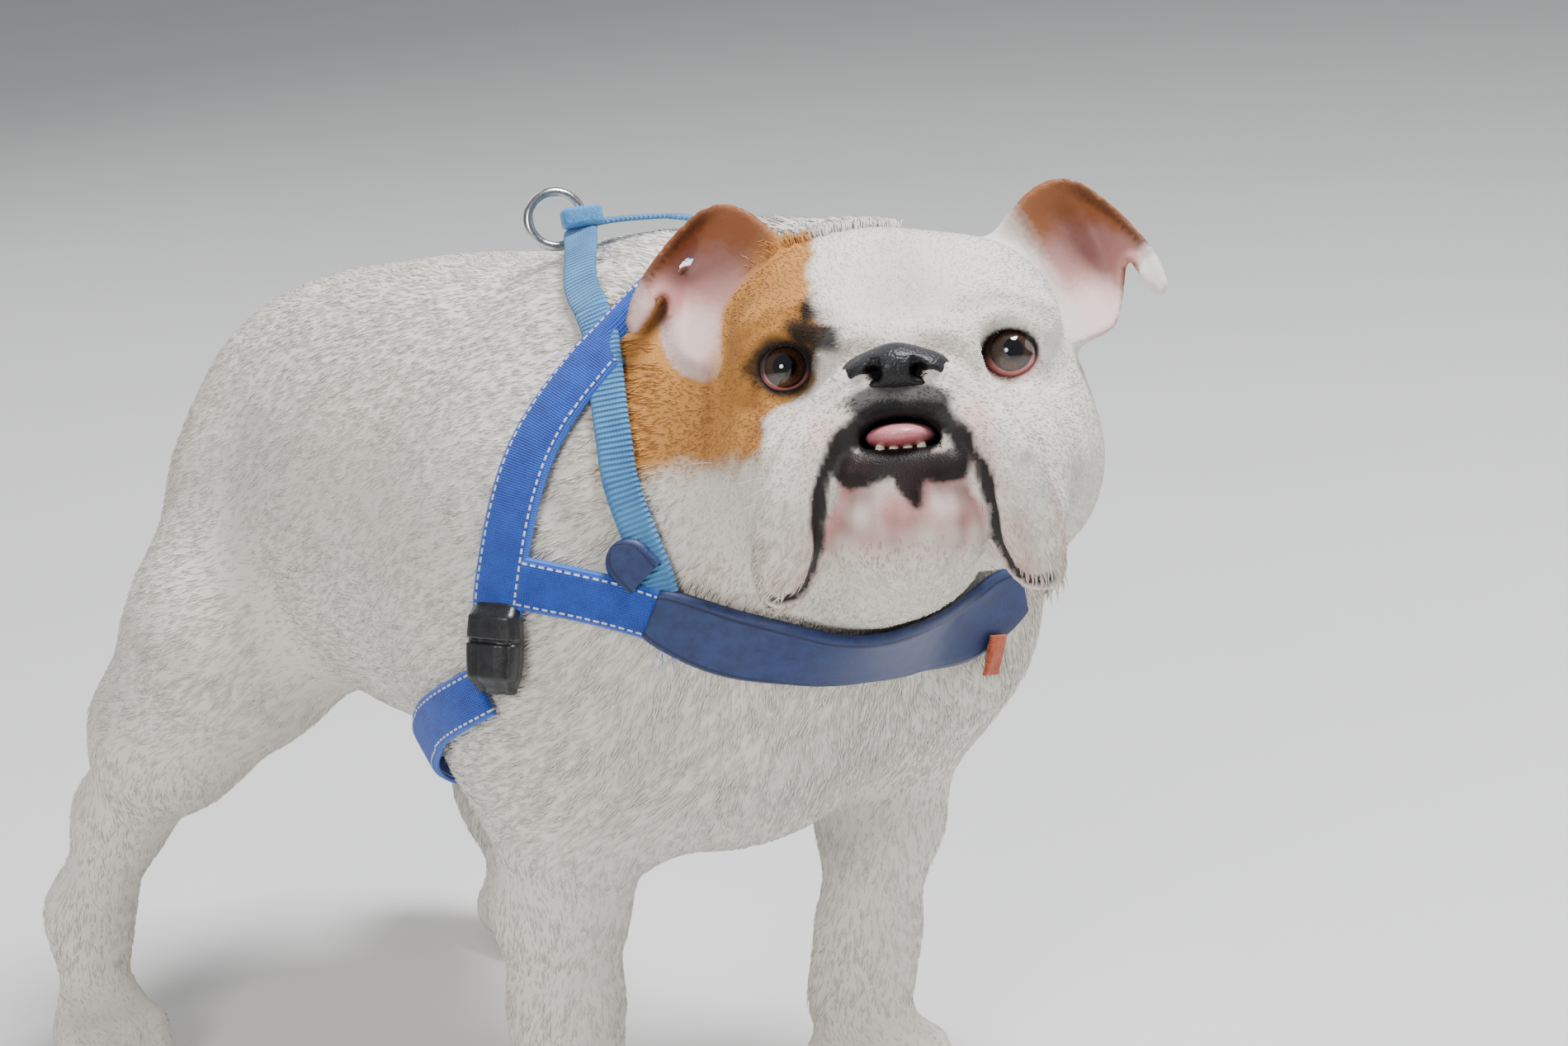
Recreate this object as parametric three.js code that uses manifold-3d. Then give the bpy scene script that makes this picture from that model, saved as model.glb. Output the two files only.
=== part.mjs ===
// A standing English bulldog, life size, that leans forward and looks up to its right.
// It wears a webbing harness with a chest plate, a ring and a side buckle.
// Millimetres, +Z up. +X is the dog's left, -Y is where its chest points, and the soles are at Z 0.
import * as THREE from "three";
import { mergeVertices } from "three/addons/utils/BufferGeometryUtils.js";
import Module from "manifold-3d";

const wasm = await Module();
wasm.setup();

// Driving dimensions of the dog
const WITHERS = 383; // height of the shoulders
const RUMP_TOP = 350; // height of the croup
const CHEST_FLOOR = 146; // underside of the brisket
const CHEST_HALF = 108; // half the width over the shoulders
const GAP = 0.3; // free space between two pieces that touch
const SKULL_HALF = 54; // half the width of the skull above the eyes
const CHEEK_HALF = 76; // half the width over the cheeks
const EYE_APART = 41.7; // from the middle of the face to an eye's centre
const EYE_R = 11.5; // radius of an eyeball
const LID = 2.4; // thickness of the lids over the eyeball
const NOSE_HALF = 17.5; // half the width of the nose leather
const SOLE_CUT = 1.5; // how much of the pads the floor flattens

// Where the head is: the point between the eyes, its turn and its tilt
const FACE = [-8, -163, 370];
const HEAD_TURN = THREE.MathUtils.degToRad(-43.5);
const HEAD_TILT = THREE.MathUtils.degToRad(21);

// Small vector helpers on plain arrays
const add = (a, b) => [a[0] + b[0], a[1] + b[1], a[2] + b[2]];
const sub = (a, b) => [a[0] - b[0], a[1] - b[1], a[2] - b[2]];
const times = (a, s) => [a[0] * s, a[1] * s, a[2] * s];
const dot = (a, b) => a[0] * b[0] + a[1] * b[1] + a[2] * b[2];
const size = (a) => Math.hypot(a[0], a[1], a[2]);
const unit = (a) => times(a, 1 / (size(a) || 1));
const cross = (a, b) => [
  a[1] * b[2] - a[2] * b[1],
  a[2] * b[0] - a[0] * b[2],
  a[0] * b[1] - a[1] * b[0],
];
const clamp = THREE.MathUtils.clamp;
const mix = THREE.MathUtils.lerp;

// A rigid placement: columns are the axes of the placed piece, and origin is where it sits
function placement(origin, euler) {
  const m = new THREE.Matrix4().makeRotationFromEuler(euler).elements;
  const axes = [0, 4, 8].map((i) => [m[i], m[i + 1], m[i + 2]]);
  return {
    out: (p) =>
      add(origin, add(times(axes[0], p[0]), add(times(axes[1], p[1]), times(axes[2], p[2])))),
    into: (p) => {
      const d = sub(p, origin);
      return [dot(d, axes[0]), dot(d, axes[1]), dot(d, axes[2])];
    },
  };
}
const DOG = placement([0, 0, 0], new THREE.Euler());
const HEAD = placement(FACE, new THREE.Euler(-HEAD_TILT, 0, HEAD_TURN, "ZYX"));

// Forms as signed distances: negative inside, about a millimetre per millimetre outside
const DEG = Math.PI / 180;
function egg(centre, radii, turn = [0, 0, 0]) {
  const place = placement(
    centre,
    new THREE.Euler(turn[0] * DEG, turn[1] * DEG, turn[2] * DEG),
  );
  return (p) => {
    const q = place.into(p);
    const near = Math.hypot(q[0] / radii[0], q[1] / radii[1], q[2] / radii[2]);
    const slope = Math.hypot(q[0] / radii[0] ** 2, q[1] / radii[1] ** 2, q[2] / radii[2] ** 2);
    return slope < 1e-9 ? -Math.min(...radii) : (near * (near - 1)) / slope;
  };
}
function bone(a, b, ra, rb) {
  const along = sub(b, a);
  const length2 = dot(along, along);
  return (p) => {
    const t = clamp(dot(sub(p, a), along) / length2, 0, 1);
    return size(sub(p, add(a, times(along, t)))) - mix(ra, rb, t);
  };
}
// A limb runs through joints, each [x, y, z, radius]
function limb(joints, soft = 12) {
  const bones = joints
    .slice(1)
    .map((j, i) => bone(joints[i].slice(0, 3), j.slice(0, 3), joints[i][3], j[3]));
  return fuse(soft, ...bones);
}
function softMin(a, b, k) {
  const h = Math.max(k - Math.abs(a - b), 0) / k;
  return Math.min(a, b) - (h * h * k) / 4;
}
function fuse(k, ...forms) {
  return (p) => forms.reduce((d, form) => softMin(d, form(p), k), 1e3);
}
// Cuts a groove or hollow with soft edges
function carve(k, form, ...cutters) {
  return (p) => cutters.reduce((d, cut) => -softMin(-d, cut(p), k), form(p));
}
const mirror = (c, side) => [c[0] * side, c[1], c[2]];
// Two forms, one on each side of the middle plane
const pair = (make) => [make(1), make(-1)];

// Torso: rib cage, brisket, shoulders, loin and croup
const ribs = egg([0, 62, 280], [CHEST_HALF - 2, 165, 99]);
const brisket = egg([4, -26, CHEST_FLOOR + 88], [92, 80, 88]);
const withers = egg([2, 8, WITHERS - 70], [76, 120, 66], [-3, 0, 0]);
const loin = egg([2, 164, 284], [78, 114, 80], [-6, 0, 0]);
const croup = egg([4, 226, RUMP_TOP - 66], [65, 66, 62], [-16, 0, 0]);
const belly = egg([0, 120, 250], [82, 120, 58], [8, 0, 0]);
const shoulderRight = egg([-72, -8, 262], [46, 56, 84], [4, 0, 0]);
const shoulderLeft = egg([98, -46, 250], [48, 60, 92], [14, 0, 0]);
const trunk = fuse(46, ribs, brisket, withers, loin, croup, belly, shoulderRight, shoulderLeft);

// Neck: short and very thick, with a crest behind the skull and loose skin at the throat
const neckCore = bone([4, -34, 312], [28, -98, 326], 88, 68);
const neckCrest = bone([4, 0, 328], [30, -104, 353], 56, 46);
const dewlap = bone([0, -84, 282], [-14, -134, 304], 50, 38);
const neck = fuse(34, neckCore, neckCrest, dewlap);

// Forelegs, from the upper arm to the pastern
const foreLegRight = limb(
  [
    [-75, -28, 228, 42],
    [-68, -17, 184, 30],
    [-64, 8, 132, 25.5],
    [-64, 12, 84, 21],
    [-67, 12, 52, 19.5],
    [-68, 8, 34, 19],
  ],
  20,
);
const foreLegLeft = limb(
  [
    [85, -50, 224, 48],
    [95, -20, 184, 37],
    [88, -23, 132, 25],
    [76, -22, 78, 19.5],
    [70, -20, 50, 18.5],
    [69, -24, 34, 18.5],
  ],
  20,
);

// Hind legs: haunch, stifle, shank, hock and rear pastern
const hindLegRight = limb(
  [
    [-46, 220, 262, 47],
    [-84, 204, 214, 46],
    [-101, 240, 170, 33],
    [-109, 282, 122, 18],
    [-125, 298, 74, 16],
    [-128, 296, 36, 17],
  ],
  24,
);
const hindLegLeft = limb(
  [
    [50, 220, 266, 54],
    [76, 182, 216, 42],
    [86, 222, 168, 28],
    [90, 282, 120, 18],
    [93, 270, 74, 16],
    [94, 258, 36, 17],
  ],
  24,
);
const hockRight = bone([-109, 286, 128], [-111, 304, 118], 12, 9);
const hockLeft = bone([90, 286, 126], [89, 303, 116], 12, 9);

// Tail: short, thick at the root and hanging with a kink
const tailForm = limb(
  [
    [3, 268, 306, 19],
    [2, 294, 292, 15],
    [6, 306, 268, 10],
    [2, 310, 246, 5.5],
  ],
  10,
);

// Head, in its own frame: the face looks along -Y, and the origin is between the eyes
const skull = fuse(
  26,
  egg([0, 52, 5], [SKULL_HALF + 4, 60, 50]),
  ...pair((s) => egg([s * 30, 34, 14], [30, 34, 32])),
);
const cheeks = pair((s) => egg([s * 38, 42, -32], [CHEEK_HALF - 38, 46, 44]));
const muzzleTop = egg([0, -3, -24], [42, 37, 23]);
const noseRoll = bone([-17, -20, 3], [17, -20, 3], 11, 11);
const chops = pair((s) =>
  limb(
    [
      [s * 15, -27, -24, 13],
      [s * 34, -26, -42, 16],
      [s * 43, -19, -62, 14],
      [s * 45, -15, -78, 9],
    ],
    12,
  ),
);
const jowls = pair((s) => bone([s * 44, 4, -38], [s * 40, 6, -62], 20, 14));
const headBare = fuse(20, skull, ...cheeks, muzzleTop, noseRoll, ...chops, ...jowls);
const brow = pair((s) => bone([s * 26, -3, 17], [s * 52, 8, 15], 8, 8));
const headForm = fuse(16, headBare, ...brow);
const foreheadFurrow = bone([0, -14, 26], [0, 0, 52], 2.5, 2);
const eyeHollow = pair((s) => egg([s * EYE_APART, -4, 0], [11, 9, 10]));

// Lower jaw: chin between the chops, and the throat behind it
const jawForm = fuse(
  14,
  egg([0, -22, -60], [33, 25, 25]),
  bone([0, -8, -64], [0, 34, -60], 22, 28),
);
const jawLip = bone([-17, -37, -44], [17, -37, -44], 8, 8);

const inHead = (form) => (p) => form(HEAD.into(p));
const mouthRoom = egg([0, -34, -31], [16, 18, 8]);
const faceForm = carve(4, carve(6, headForm, foreheadFurrow, ...eyeHollow), mouthRoom);
const headField = fuse(26, inHead(faceForm), neck);

// The whole dog without the details of its head and paws
const bodyField = fuse(
  30,
  trunk,
  fuse(26, inHead(headBare), neck),
  foreLegRight,
  foreLegLeft,
  fuse(12, hindLegRight, hockRight),
  fuse(12, hindLegLeft, hockLeft),
);
// The chest and throat without the head, for the plate that lies under the jaw
const chestField = fuse(30, trunk, neck, foreLegRight, foreLegLeft);

// Turns a field into a closed mesh on a grid of cells, with its corners drawn onto the surface
function skin(field, xs, ys, zs, place = DOG) {
  const [nx, ny, nz] = [xs.length, ys.length, zs.length];
  const at = (i, j, k) => (i * ny + j) * nz + k;
  const value = new Float64Array(nx * ny * nz);
  for (let i = 0; i < nx; i++)
    for (let j = 0; j < ny; j++)
      for (let k = 0; k < nz; k++) {
        const edge = i * j * k === 0 || i === nx - 1 || j === ny - 1 || k === nz - 1;
        const d = field(place.out([xs[i], ys[j], zs[k]]));
        value[at(i, j, k)] = edge ? Math.max(d, 1) : d;
      }
  const corners = [];
  for (let c = 0; c < 8; c++) corners.push([c & 1, (c >> 1) & 1, (c >> 2) & 1]);
  const pointOf = new Map();
  const points = [];
  for (let i = 0; i < nx - 1; i++)
    for (let j = 0; j < ny - 1; j++)
      for (let k = 0; k < nz - 1; k++) {
        const v = corners.map(([a, b, c]) => value[at(i + a, j + b, k + c)]);
        if (v.every((d) => d < 0) || v.every((d) => d >= 0)) continue;
        let sum = [0, 0, 0];
        let n = 0;
        for (let a = 0; a < 8; a++)
          for (const bit of [1, 2, 4]) {
            const b = a | bit;
            if (a === b || v[a] < 0 === v[b] < 0) continue;
            const t = v[a] / (v[a] - v[b]);
            const [p, q] = [corners[a], corners[b]];
            sum = add(sum, [mix(p[0], q[0], t), mix(p[1], q[1], t), mix(p[2], q[2], t)]);
            n++;
          }
        const s = times(sum, 1 / n);
        pointOf.set(at(i, j, k), points.length);
        const local = [
          mix(xs[i], xs[i + 1], s[0]),
          mix(ys[j], ys[j + 1], s[1]),
          mix(zs[k], zs[k + 1], s[2]),
        ];
        points.push(settle(field, place.out(local), 0, 0.35 * (zs[k + 1] - zs[k])));
      }
  const faces = [];
  const quad = (a, b, c, d, flip) => {
    const ring = flip ? [d, c, b, a] : [a, b, c, d];
    const [p, q, r, s] = ring.map((key) => pointOf.get(key));
    const short = size(sub(points[p], points[r])) <= size(sub(points[q], points[s]));
    if (short) faces.push(p, q, r, p, r, s);
    else faces.push(p, q, s, q, r, s);
  };
  for (let i = 0; i < nx - 1; i++)
    for (let j = 0; j < ny - 1; j++)
      for (let k = 0; k < nz - 1; k++) {
        const here = value[at(i, j, k)] < 0;
        if (j * k > 0 && here !== value[at(i + 1, j, k)] < 0)
          quad(at(i, j - 1, k - 1), at(i, j, k - 1), at(i, j, k), at(i, j - 1, k), !here);
        if (i * k > 0 && here !== value[at(i, j + 1, k)] < 0)
          quad(at(i - 1, j, k - 1), at(i - 1, j, k), at(i, j, k), at(i, j, k - 1), !here);
        if (i * j > 0 && here !== value[at(i, j, k + 1)] < 0)
          quad(at(i - 1, j - 1, k), at(i, j - 1, k), at(i, j, k), at(i - 1, j, k), !here);
      }
  return solid(points, faces);
}
function slopeOf(field, p) {
  const h = 0.5;
  return [0, 1, 2].map((a) => {
    const [hi, lo] = [p.slice(), p.slice()];
    hi[a] += h;
    lo[a] -= h;
    return (field(hi) - field(lo)) / (2 * h);
  });
}
// Moves a point to where the field has the given level, by at most the given reach
function settle(field, start, level, reach) {
  let p = start;
  for (let n = 0; n < 3; n++) {
    const g = slopeOf(field, p);
    const steep = Math.max(dot(g, g), 0.05);
    p = sub(p, times(g, (field(p) - level) / steep));
  }
  const moved = sub(p, start);
  const far = size(moved);
  return far > reach ? add(start, times(moved, reach / far)) : p;
}
function solid(points, faces) {
  return new wasm.Manifold(
    new wasm.Mesh({
      numProp: 3,
      vertProperties: new Float32Array(points.flat()),
      triVerts: new Uint32Array(faces),
    }),
  );
}
function solidOf(geometry) {
  const bare = geometry.clone();
  bare.deleteAttribute("normal");
  bare.deleteAttribute("uv");
  const merged = mergeVertices(bare, 1e-3);
  return new wasm.Manifold(
    new wasm.Mesh({
      numProp: 3,
      vertProperties: new Float32Array(merged.attributes.position.array),
      triVerts: new Uint32Array(merged.index.array),
    }),
  );
}
// Evenly spaced grid lines between two ends
function lines(from, to, step) {
  const n = Math.ceil((to - from) / step);
  return Array.from({ length: n + 1 }, (_, i) => from + ((to - from) * i) / n);
}
// Grid lines that are fine up to a point and coarse beyond it
const gradedLines = (from, change, to, fine, coarse) => [
  ...lines(from, change, fine),
  ...lines(change, to, coarse).slice(1),
];

// A half space as a large box: everything on the side that the normal points to
const FAR = 900;
function halfSpace(point, normal) {
  const box = new THREE.BoxGeometry(2 * FAR, 2 * FAR, 2 * FAR);
  const turn = new THREE.Quaternion().setFromUnitVectors(
    new THREE.Vector3(0, 0, 1),
    new THREE.Vector3(...unit(normal)),
  );
  box.applyQuaternion(turn);
  box.translate(...add(point, times(unit(normal), FAR)));
  return solidOf(box);
}
// A convex block of space behind several planes, each a point and the way into the block
const block = (planes, wider = 0) =>
  planes
    .map(([point, way]) => halfSpace(add(point, times(unit(way), GAP / 2 - wider)), way))
    .reduce((room, half) => room.intersect(half));

// The same solid with every corner moved out along its normal
function grown(made, by = GAP) {
  const mesh = made.getMesh();
  const geometry = new THREE.BufferGeometry();
  const corners = Float32Array.from(mesh.vertProperties);
  geometry.setAttribute("position", new THREE.BufferAttribute(corners, 3));
  geometry.setIndex(new THREE.BufferAttribute(Uint32Array.from(mesh.triVerts), 1));
  geometry.computeVertexNormals();
  const normals = geometry.attributes.normal.array;
  return new wasm.Manifold(
    new wasm.Mesh({
      numProp: 3,
      vertProperties: corners.map((c, i) => c + by * 1.04 * normals[i]),
      triVerts: Uint32Array.from(mesh.triVerts),
    }),
  );
}
const largest = (made) =>
  made.decompose().reduce((best, part) => (part.volume() > best.volume() ? part : best));
const headWay = (way) => sub(HEAD.out(way), HEAD.out([0, 0, 0]));

// Where the body is parted
const PAW_TOP = 50;
const HEAD_ROOM = [
  [HEAD.out([0, 78, 0]), headWay([0, -1, 0])],
  [HEAD.out([-88, 0, 0]), headWay([1, 0, 0])],
  [HEAD.out([92, 0, 0]), headWay([-1, 0, 0])],
  [HEAD.out([0, 0, -99]), headWay([0, 0, 1])],
];
const NECK_ROOM = [
  [
    [0, -46, 318],
    [0, -1, 0.7],
  ],
];
const legRoom = (side, point, way, rear) => [
  [point, way],
  [
    [side * 8, 0, 0],
    [side, 0, 0],
  ],
  [
    [0, rear ? 138 : 66, 0],
    [0, rear ? 1 : -1, 0],
  ],
  [
    [0, 0, PAW_TOP],
    [0, 0, 1],
  ],
];
const LEG_ROOMS = {
  foreleg_right: legRoom(-1, [-62, 6, 196], [-0.72, 0.05, -0.7], false),
  foreleg_left: legRoom(1, [66, -24, 196], [0.72, 0.05, -0.7], false),
  hindleg_right: legRoom(-1, [-48, 206, 250], [-0.84, 0.1, -0.54], true),
  hindleg_left: legRoom(1, [48, 200, 250], [0.84, 0.1, -0.54], true),
};

// The body on one grid, then parted
const body = skin(
  bodyField,
  lines(-176, 176, 19.5),
  lines(-196, 348, 22.5),
  gradedLines(33, 206, 446, 16.2, 22),
);
const clearOfLegs = (made) =>
  Object.values(LEG_ROOMS).reduce(
    (rest, room) => rest.subtract(block(room.slice(0, 3), GAP)),
    made,
  );
const neckPart = largest(
  clearOfLegs(body.intersect(block(NECK_ROOM)).subtract(block(HEAD_ROOM, GAP))),
);
const legParts = Object.fromEntries(
  Object.entries(LEG_ROOMS).map(([name, room]) => [name, largest(body.intersect(block(room)))]),
);
const torsoPart = largest(
  clearOfLegs(body.subtract(block(NECK_ROOM, GAP)).subtract(block(HEAD_ROOM, GAP))),
);

// Head, lids and the pieces set into the face
const ball = (centre, radius, around = 12, down = 9) => {
  const sphere = new THREE.SphereGeometry(radius, around, down);
  sphere.rotateX(Math.PI / 2);
  sphere.applyMatrix4(HEAD_MATRIX);
  sphere.translate(...sub(HEAD.out(centre), FACE));
  return solidOf(sphere);
};
const HEAD_MATRIX = new THREE.Matrix4()
  .makeRotationFromEuler(new THREE.Euler(-HEAD_TILT, 0, HEAD_TURN, "ZYX"))
  .setPosition(...FACE);
// A ball squashed to three radii, in the head's frame
const pebble = (centre, radii, around = 14, down = 10) => {
  const shape = new THREE.SphereGeometry(1, around, down);
  shape.rotateX(Math.PI / 2);
  shape.scale(...radii);
  shape.translate(...centre);
  shape.applyMatrix4(HEAD_MATRIX);
  return solidOf(shape);
};
const eyeAt = (side) => [side * EYE_APART, 8.5, 2];
// The opening between the lids: an almond that runs forward from the eyeball
function lidOpening(side) {
  const rim = new THREE.CylinderGeometry(1, 1, 40, 16);
  rim.scale(9.6, 1, 8);
  rim.translate(0, -20, 0);
  rim.rotateY(side * 0.16);
  rim.translate(...eyeAt(side));
  rim.applyMatrix4(HEAD_MATRIX);
  return solidOf(rim);
}
const noseForm = carve(
  2,
  fuse(
    5,
    egg([0, -31, -9], [NOSE_HALF - 3, 14, 11]),
    ...pair((s) => egg([s * 9.5, -30, -7.5], [NOSE_HALF - 9.5, 12.5, 9])),
  ),
  ...pair((s) => limb([[s * 7.5, -44, -8, 3], [s * 12, -42, -8.5, 2.4], [s * 15, -38, -11, 1.4]], 2)),
  bone([0, -46, -4], [0, -45, -20], 1, 1.2),
);
const noseGrid = [lines(-24, 24, 4), lines(-50, -14, 4.4), lines(-26, 8, 3.8)];
const noseWhole = skin(inHead(noseForm), ...noseGrid, HEAD);
const headSkin = skin(
  headField,
  [...lines(-97, -61, 12), ...gradedLines(-61, 61, 103, 8.2, 14).slice(1)],
  gradedLines(-62, 16, 91, 8, 15),
  gradedLines(-108, 28, 70, 8.3, 13),
  HEAD,
);
const jawWhole = skin(
  inHead(fuse(7, jawForm, jawLip)),
  lines(-42, 42, 9),
  gradedLines(-56, -12, 64, 8.4, 22),
  lines(-100, -28, 9),
  HEAD,
);
const tongueWhole = pebble([0, -31, -30.5], [13, 15, 5], 12, 7);
const TEETH = 4;
const teethWhole = Array.from({ length: TEETH }, (_, n) => (n - (TEETH - 1) / 2) * 5)
  .map((x) => pebble([x, -37, -36], [2.1, 1.7, 3.6], 6, 4))
  .reduce((row, tooth) => row.add(tooth), pebble([0, -36, -38.5], [13, 2.6, 2.4], 8, 4));
const socket = (side) => ball(eyeAt(side), EYE_R + GAP);
const lidded = pair((side) => ball(eyeAt(side), EYE_R + LID)).reduce((h, lid) => h.add(lid), headSkin);
const opened = pair(lidOpening).reduce((h, cut) => h.subtract(cut), lidded);
const teethPart = largest(teethWhole.subtract(grown(tongueWhole)));
const jawPart = largest(
  jawWhole.intersect(block(HEAD_ROOM)).subtract(grown(tongueWhole)).subtract(grown(teethWhole)),
);
const headPart = largest(
  pair(socket)
    .reduce((h, hole) => h.subtract(hole), opened)
    .intersect(block(HEAD_ROOM))
    .subtract(grown(jawWhole))
    .subtract(grown(tongueWhole))
    .subtract(grown(teethWhole))
    .subtract(grown(noseWhole)),
);

// Ears: folded back and out, seen from inside, with a cup and a tip that hangs
// Each row runs from the base to the tip: [across, back, up] of the upper and the lower edge
const EAR_ROWS = [
  [[34, 50, 44], [56, 44, 4]],
  [[46, 44, 58], [71, 34, 8]],
  [[58, 44, 68], [81, 40, 14]],
  [[70, 46, 69], [85, 48, 27]],
  [[82, 46, 60], [87, 48, 37]],
  [[92, 43, 48], [91, 42, 38]],
  [[98.5, 39, 37], [95, 38, 30]],
  [[101.5, 37, 27], [100, 37, 24]],
];
const EAR_CUP = 15; // depth of the cup behind the line between the edges
const EAR_THICK = 2.6;
function earShell(side) {
  const across = 4;
  const along = 13;
  const upper = new THREE.CatmullRomCurve3(EAR_ROWS.map((r) => new THREE.Vector3(...r[0])));
  const lower = new THREE.CatmullRomCurve3(EAR_ROWS.map((r) => new THREE.Vector3(...r[1])));
  const sheet = [];
  for (let i = 0; i <= along; i++) {
    const [a, b] = [upper.getPoint(i / along), lower.getPoint(i / along)];
    const depth = EAR_CUP * Math.sin(Math.PI * clamp(i / along * 1.15, 0, 1)) ** 0.7;
    for (let j = 0; j <= across; j++) {
      const v = a.clone().lerp(b, j / across);
      v.y += depth * Math.sin(Math.PI * (j / across)) * clamp(a.distanceTo(b) / 40, 0.1, 1);
      sheet.push(v);
    }
  }
  const at = (i, j) => i * (across + 1) + j;
  const normalAt = (i, j) => {
    const u = sheet[at(Math.min(i + 1, along), j)].clone().sub(sheet[at(Math.max(i - 1, 0), j)]);
    const w = sheet[at(i, Math.min(j + 1, across))].clone().sub(sheet[at(i, Math.max(j - 1, 0))]);
    return u.cross(w).normalize();
  };
  const thin = (i, j) => EAR_THICK * (0.55 + 0.45 * Math.sin(Math.PI * (j / across)));
  const points = [-0.5, 0.5].flatMap((half) =>
    sheet.map((v, n) => {
      const [i, j] = [Math.floor(n / (across + 1)), n % (across + 1)];
      const w = v.clone().addScaledVector(normalAt(i, j), half * thin(i, j));
      return HEAD.out([side * w.x, w.y - 8, w.z]);
    }),
  );
  const back = sheet.length;
  const faces = [];
  const quad = (a, b, c, d) => faces.push(...(side > 0 ? [a, b, c, a, c, d] : [a, c, b, a, d, c]));
  for (let i = 0; i < along; i++)
    for (let j = 0; j < across; j++) {
      quad(at(i, j), at(i, j + 1), at(i + 1, j + 1), at(i + 1, j));
      quad(
        back + at(i, j),
        back + at(i + 1, j),
        back + at(i + 1, j + 1),
        back + at(i, j + 1),
      );
    }
  for (let i = 0; i < along; i++) {
    quad(at(i, 0), at(i + 1, 0), back + at(i + 1, 0), back + at(i, 0));
    quad(at(i + 1, across), at(i, across), back + at(i, across), back + at(i + 1, across));
  }
  for (let j = 0; j < across; j++) {
    quad(at(0, j + 1), at(0, j), back + at(0, j), back + at(0, j + 1));
    quad(at(along, j), at(along, j + 1), back + at(along, j + 1), back + at(along, j));
  }
  return solid(points, faces);
}

// Paws: a pad and four toes, flattened where they stand
const TOE_SPREAD = 12.5;
const TOES = [-1.5, -0.5, 0.5, 1.5].map((n) => [
  n * TOE_SPREAD,
  -34 + 4.5 * Math.abs(n),
]);
const FEET = [
  ["right", "fore", [-69, 8, 0], -8, 1, [[-64, 12, 90, 21], [-67, 12, 52, 19.5], [-69, 10, 34, 18]]],
  ["left", "fore", [69, -24, 0], 8, 1, [[76, -22, 78, 19.5], [70, -20, 50, 18.5], [69, -22, 34, 18]]],
  ["right", "hind", [-129, 292, 0], -14, 0.92, [[-125, 298, 80, 16], [-128, 296, 46, 17], [-129, 294, 32, 16]]],
  ["left", "hind", [94, 254, 0], 10, 0.92, [[93, 270, 80, 16], [94, 260, 46, 17], [94, 258, 32, 16]]],
];
const toeForm = ([x, y]) =>
  limb(
    [
      [x * 0.55, -2, 28, 13],
      [x * 0.9, y * 0.62, 24, 11.5],
      [x, y, 10.5 - SOLE_CUT, 10.5],
    ],
    5,
  );
function pawParts([side, end, foot, turn, scale, joints]) {
  const room = placement(foot, new THREE.Euler(0, 0, turn * DEG));
  const toes = fuse(4, ...TOES.map(toeForm));
  const heel = egg([0, 5, 19 - SOLE_CUT], [26, 27, 20]);
  const bare = fuse(9, toes, heel);
  const field = fuse(12, limb(joints, 8), (p) => bare(times(room.into(p), 1 / scale)) * scale);
  const grid = [lines(-36, 36, 9.6), lines(-52, 40, 10), lines(-4, 62, 9.6)];
  const whole = skin(field, ...grid, room);
  const sole = [
    [0, 0, -GAP / 2],
    [0, 0, 1],
  ];
  const lid = [
    [0, 0, PAW_TOP],
    [0, 0, -1],
  ];
  const paw = largest(whole.intersect(block([sole, lid])));
  const claws = TOES.map(([x, y]) => {
    const claw = new THREE.ConeGeometry(3.4, 15, 7);
    claw.rotateX(-Math.PI / 2);
    claw.scale(0.8, -1, 1);
    claw.index.array.reverse();
    claw.rotateX(0.42);
    claw.translate(x, y - 10, 8);
    claw.scale(scale, scale, scale);
    claw.rotateZ(turn * DEG);
    claw.translate(...foot);
    return largest(solidOf(claw).subtract(grown(paw)));
  });
  return { name: `${end}paw_${side}`, paw, claws, clawName: `claw_${end}_${side}` };
}

// Harness: flat webbing that follows the coat
const WEB = 2.6; // thickness of the webbing
const LIFT = 1.5; // how far it sits off the coat's surface
const STRAP_WIDE = 19;
const TAPE_WIDE = 14;
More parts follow.
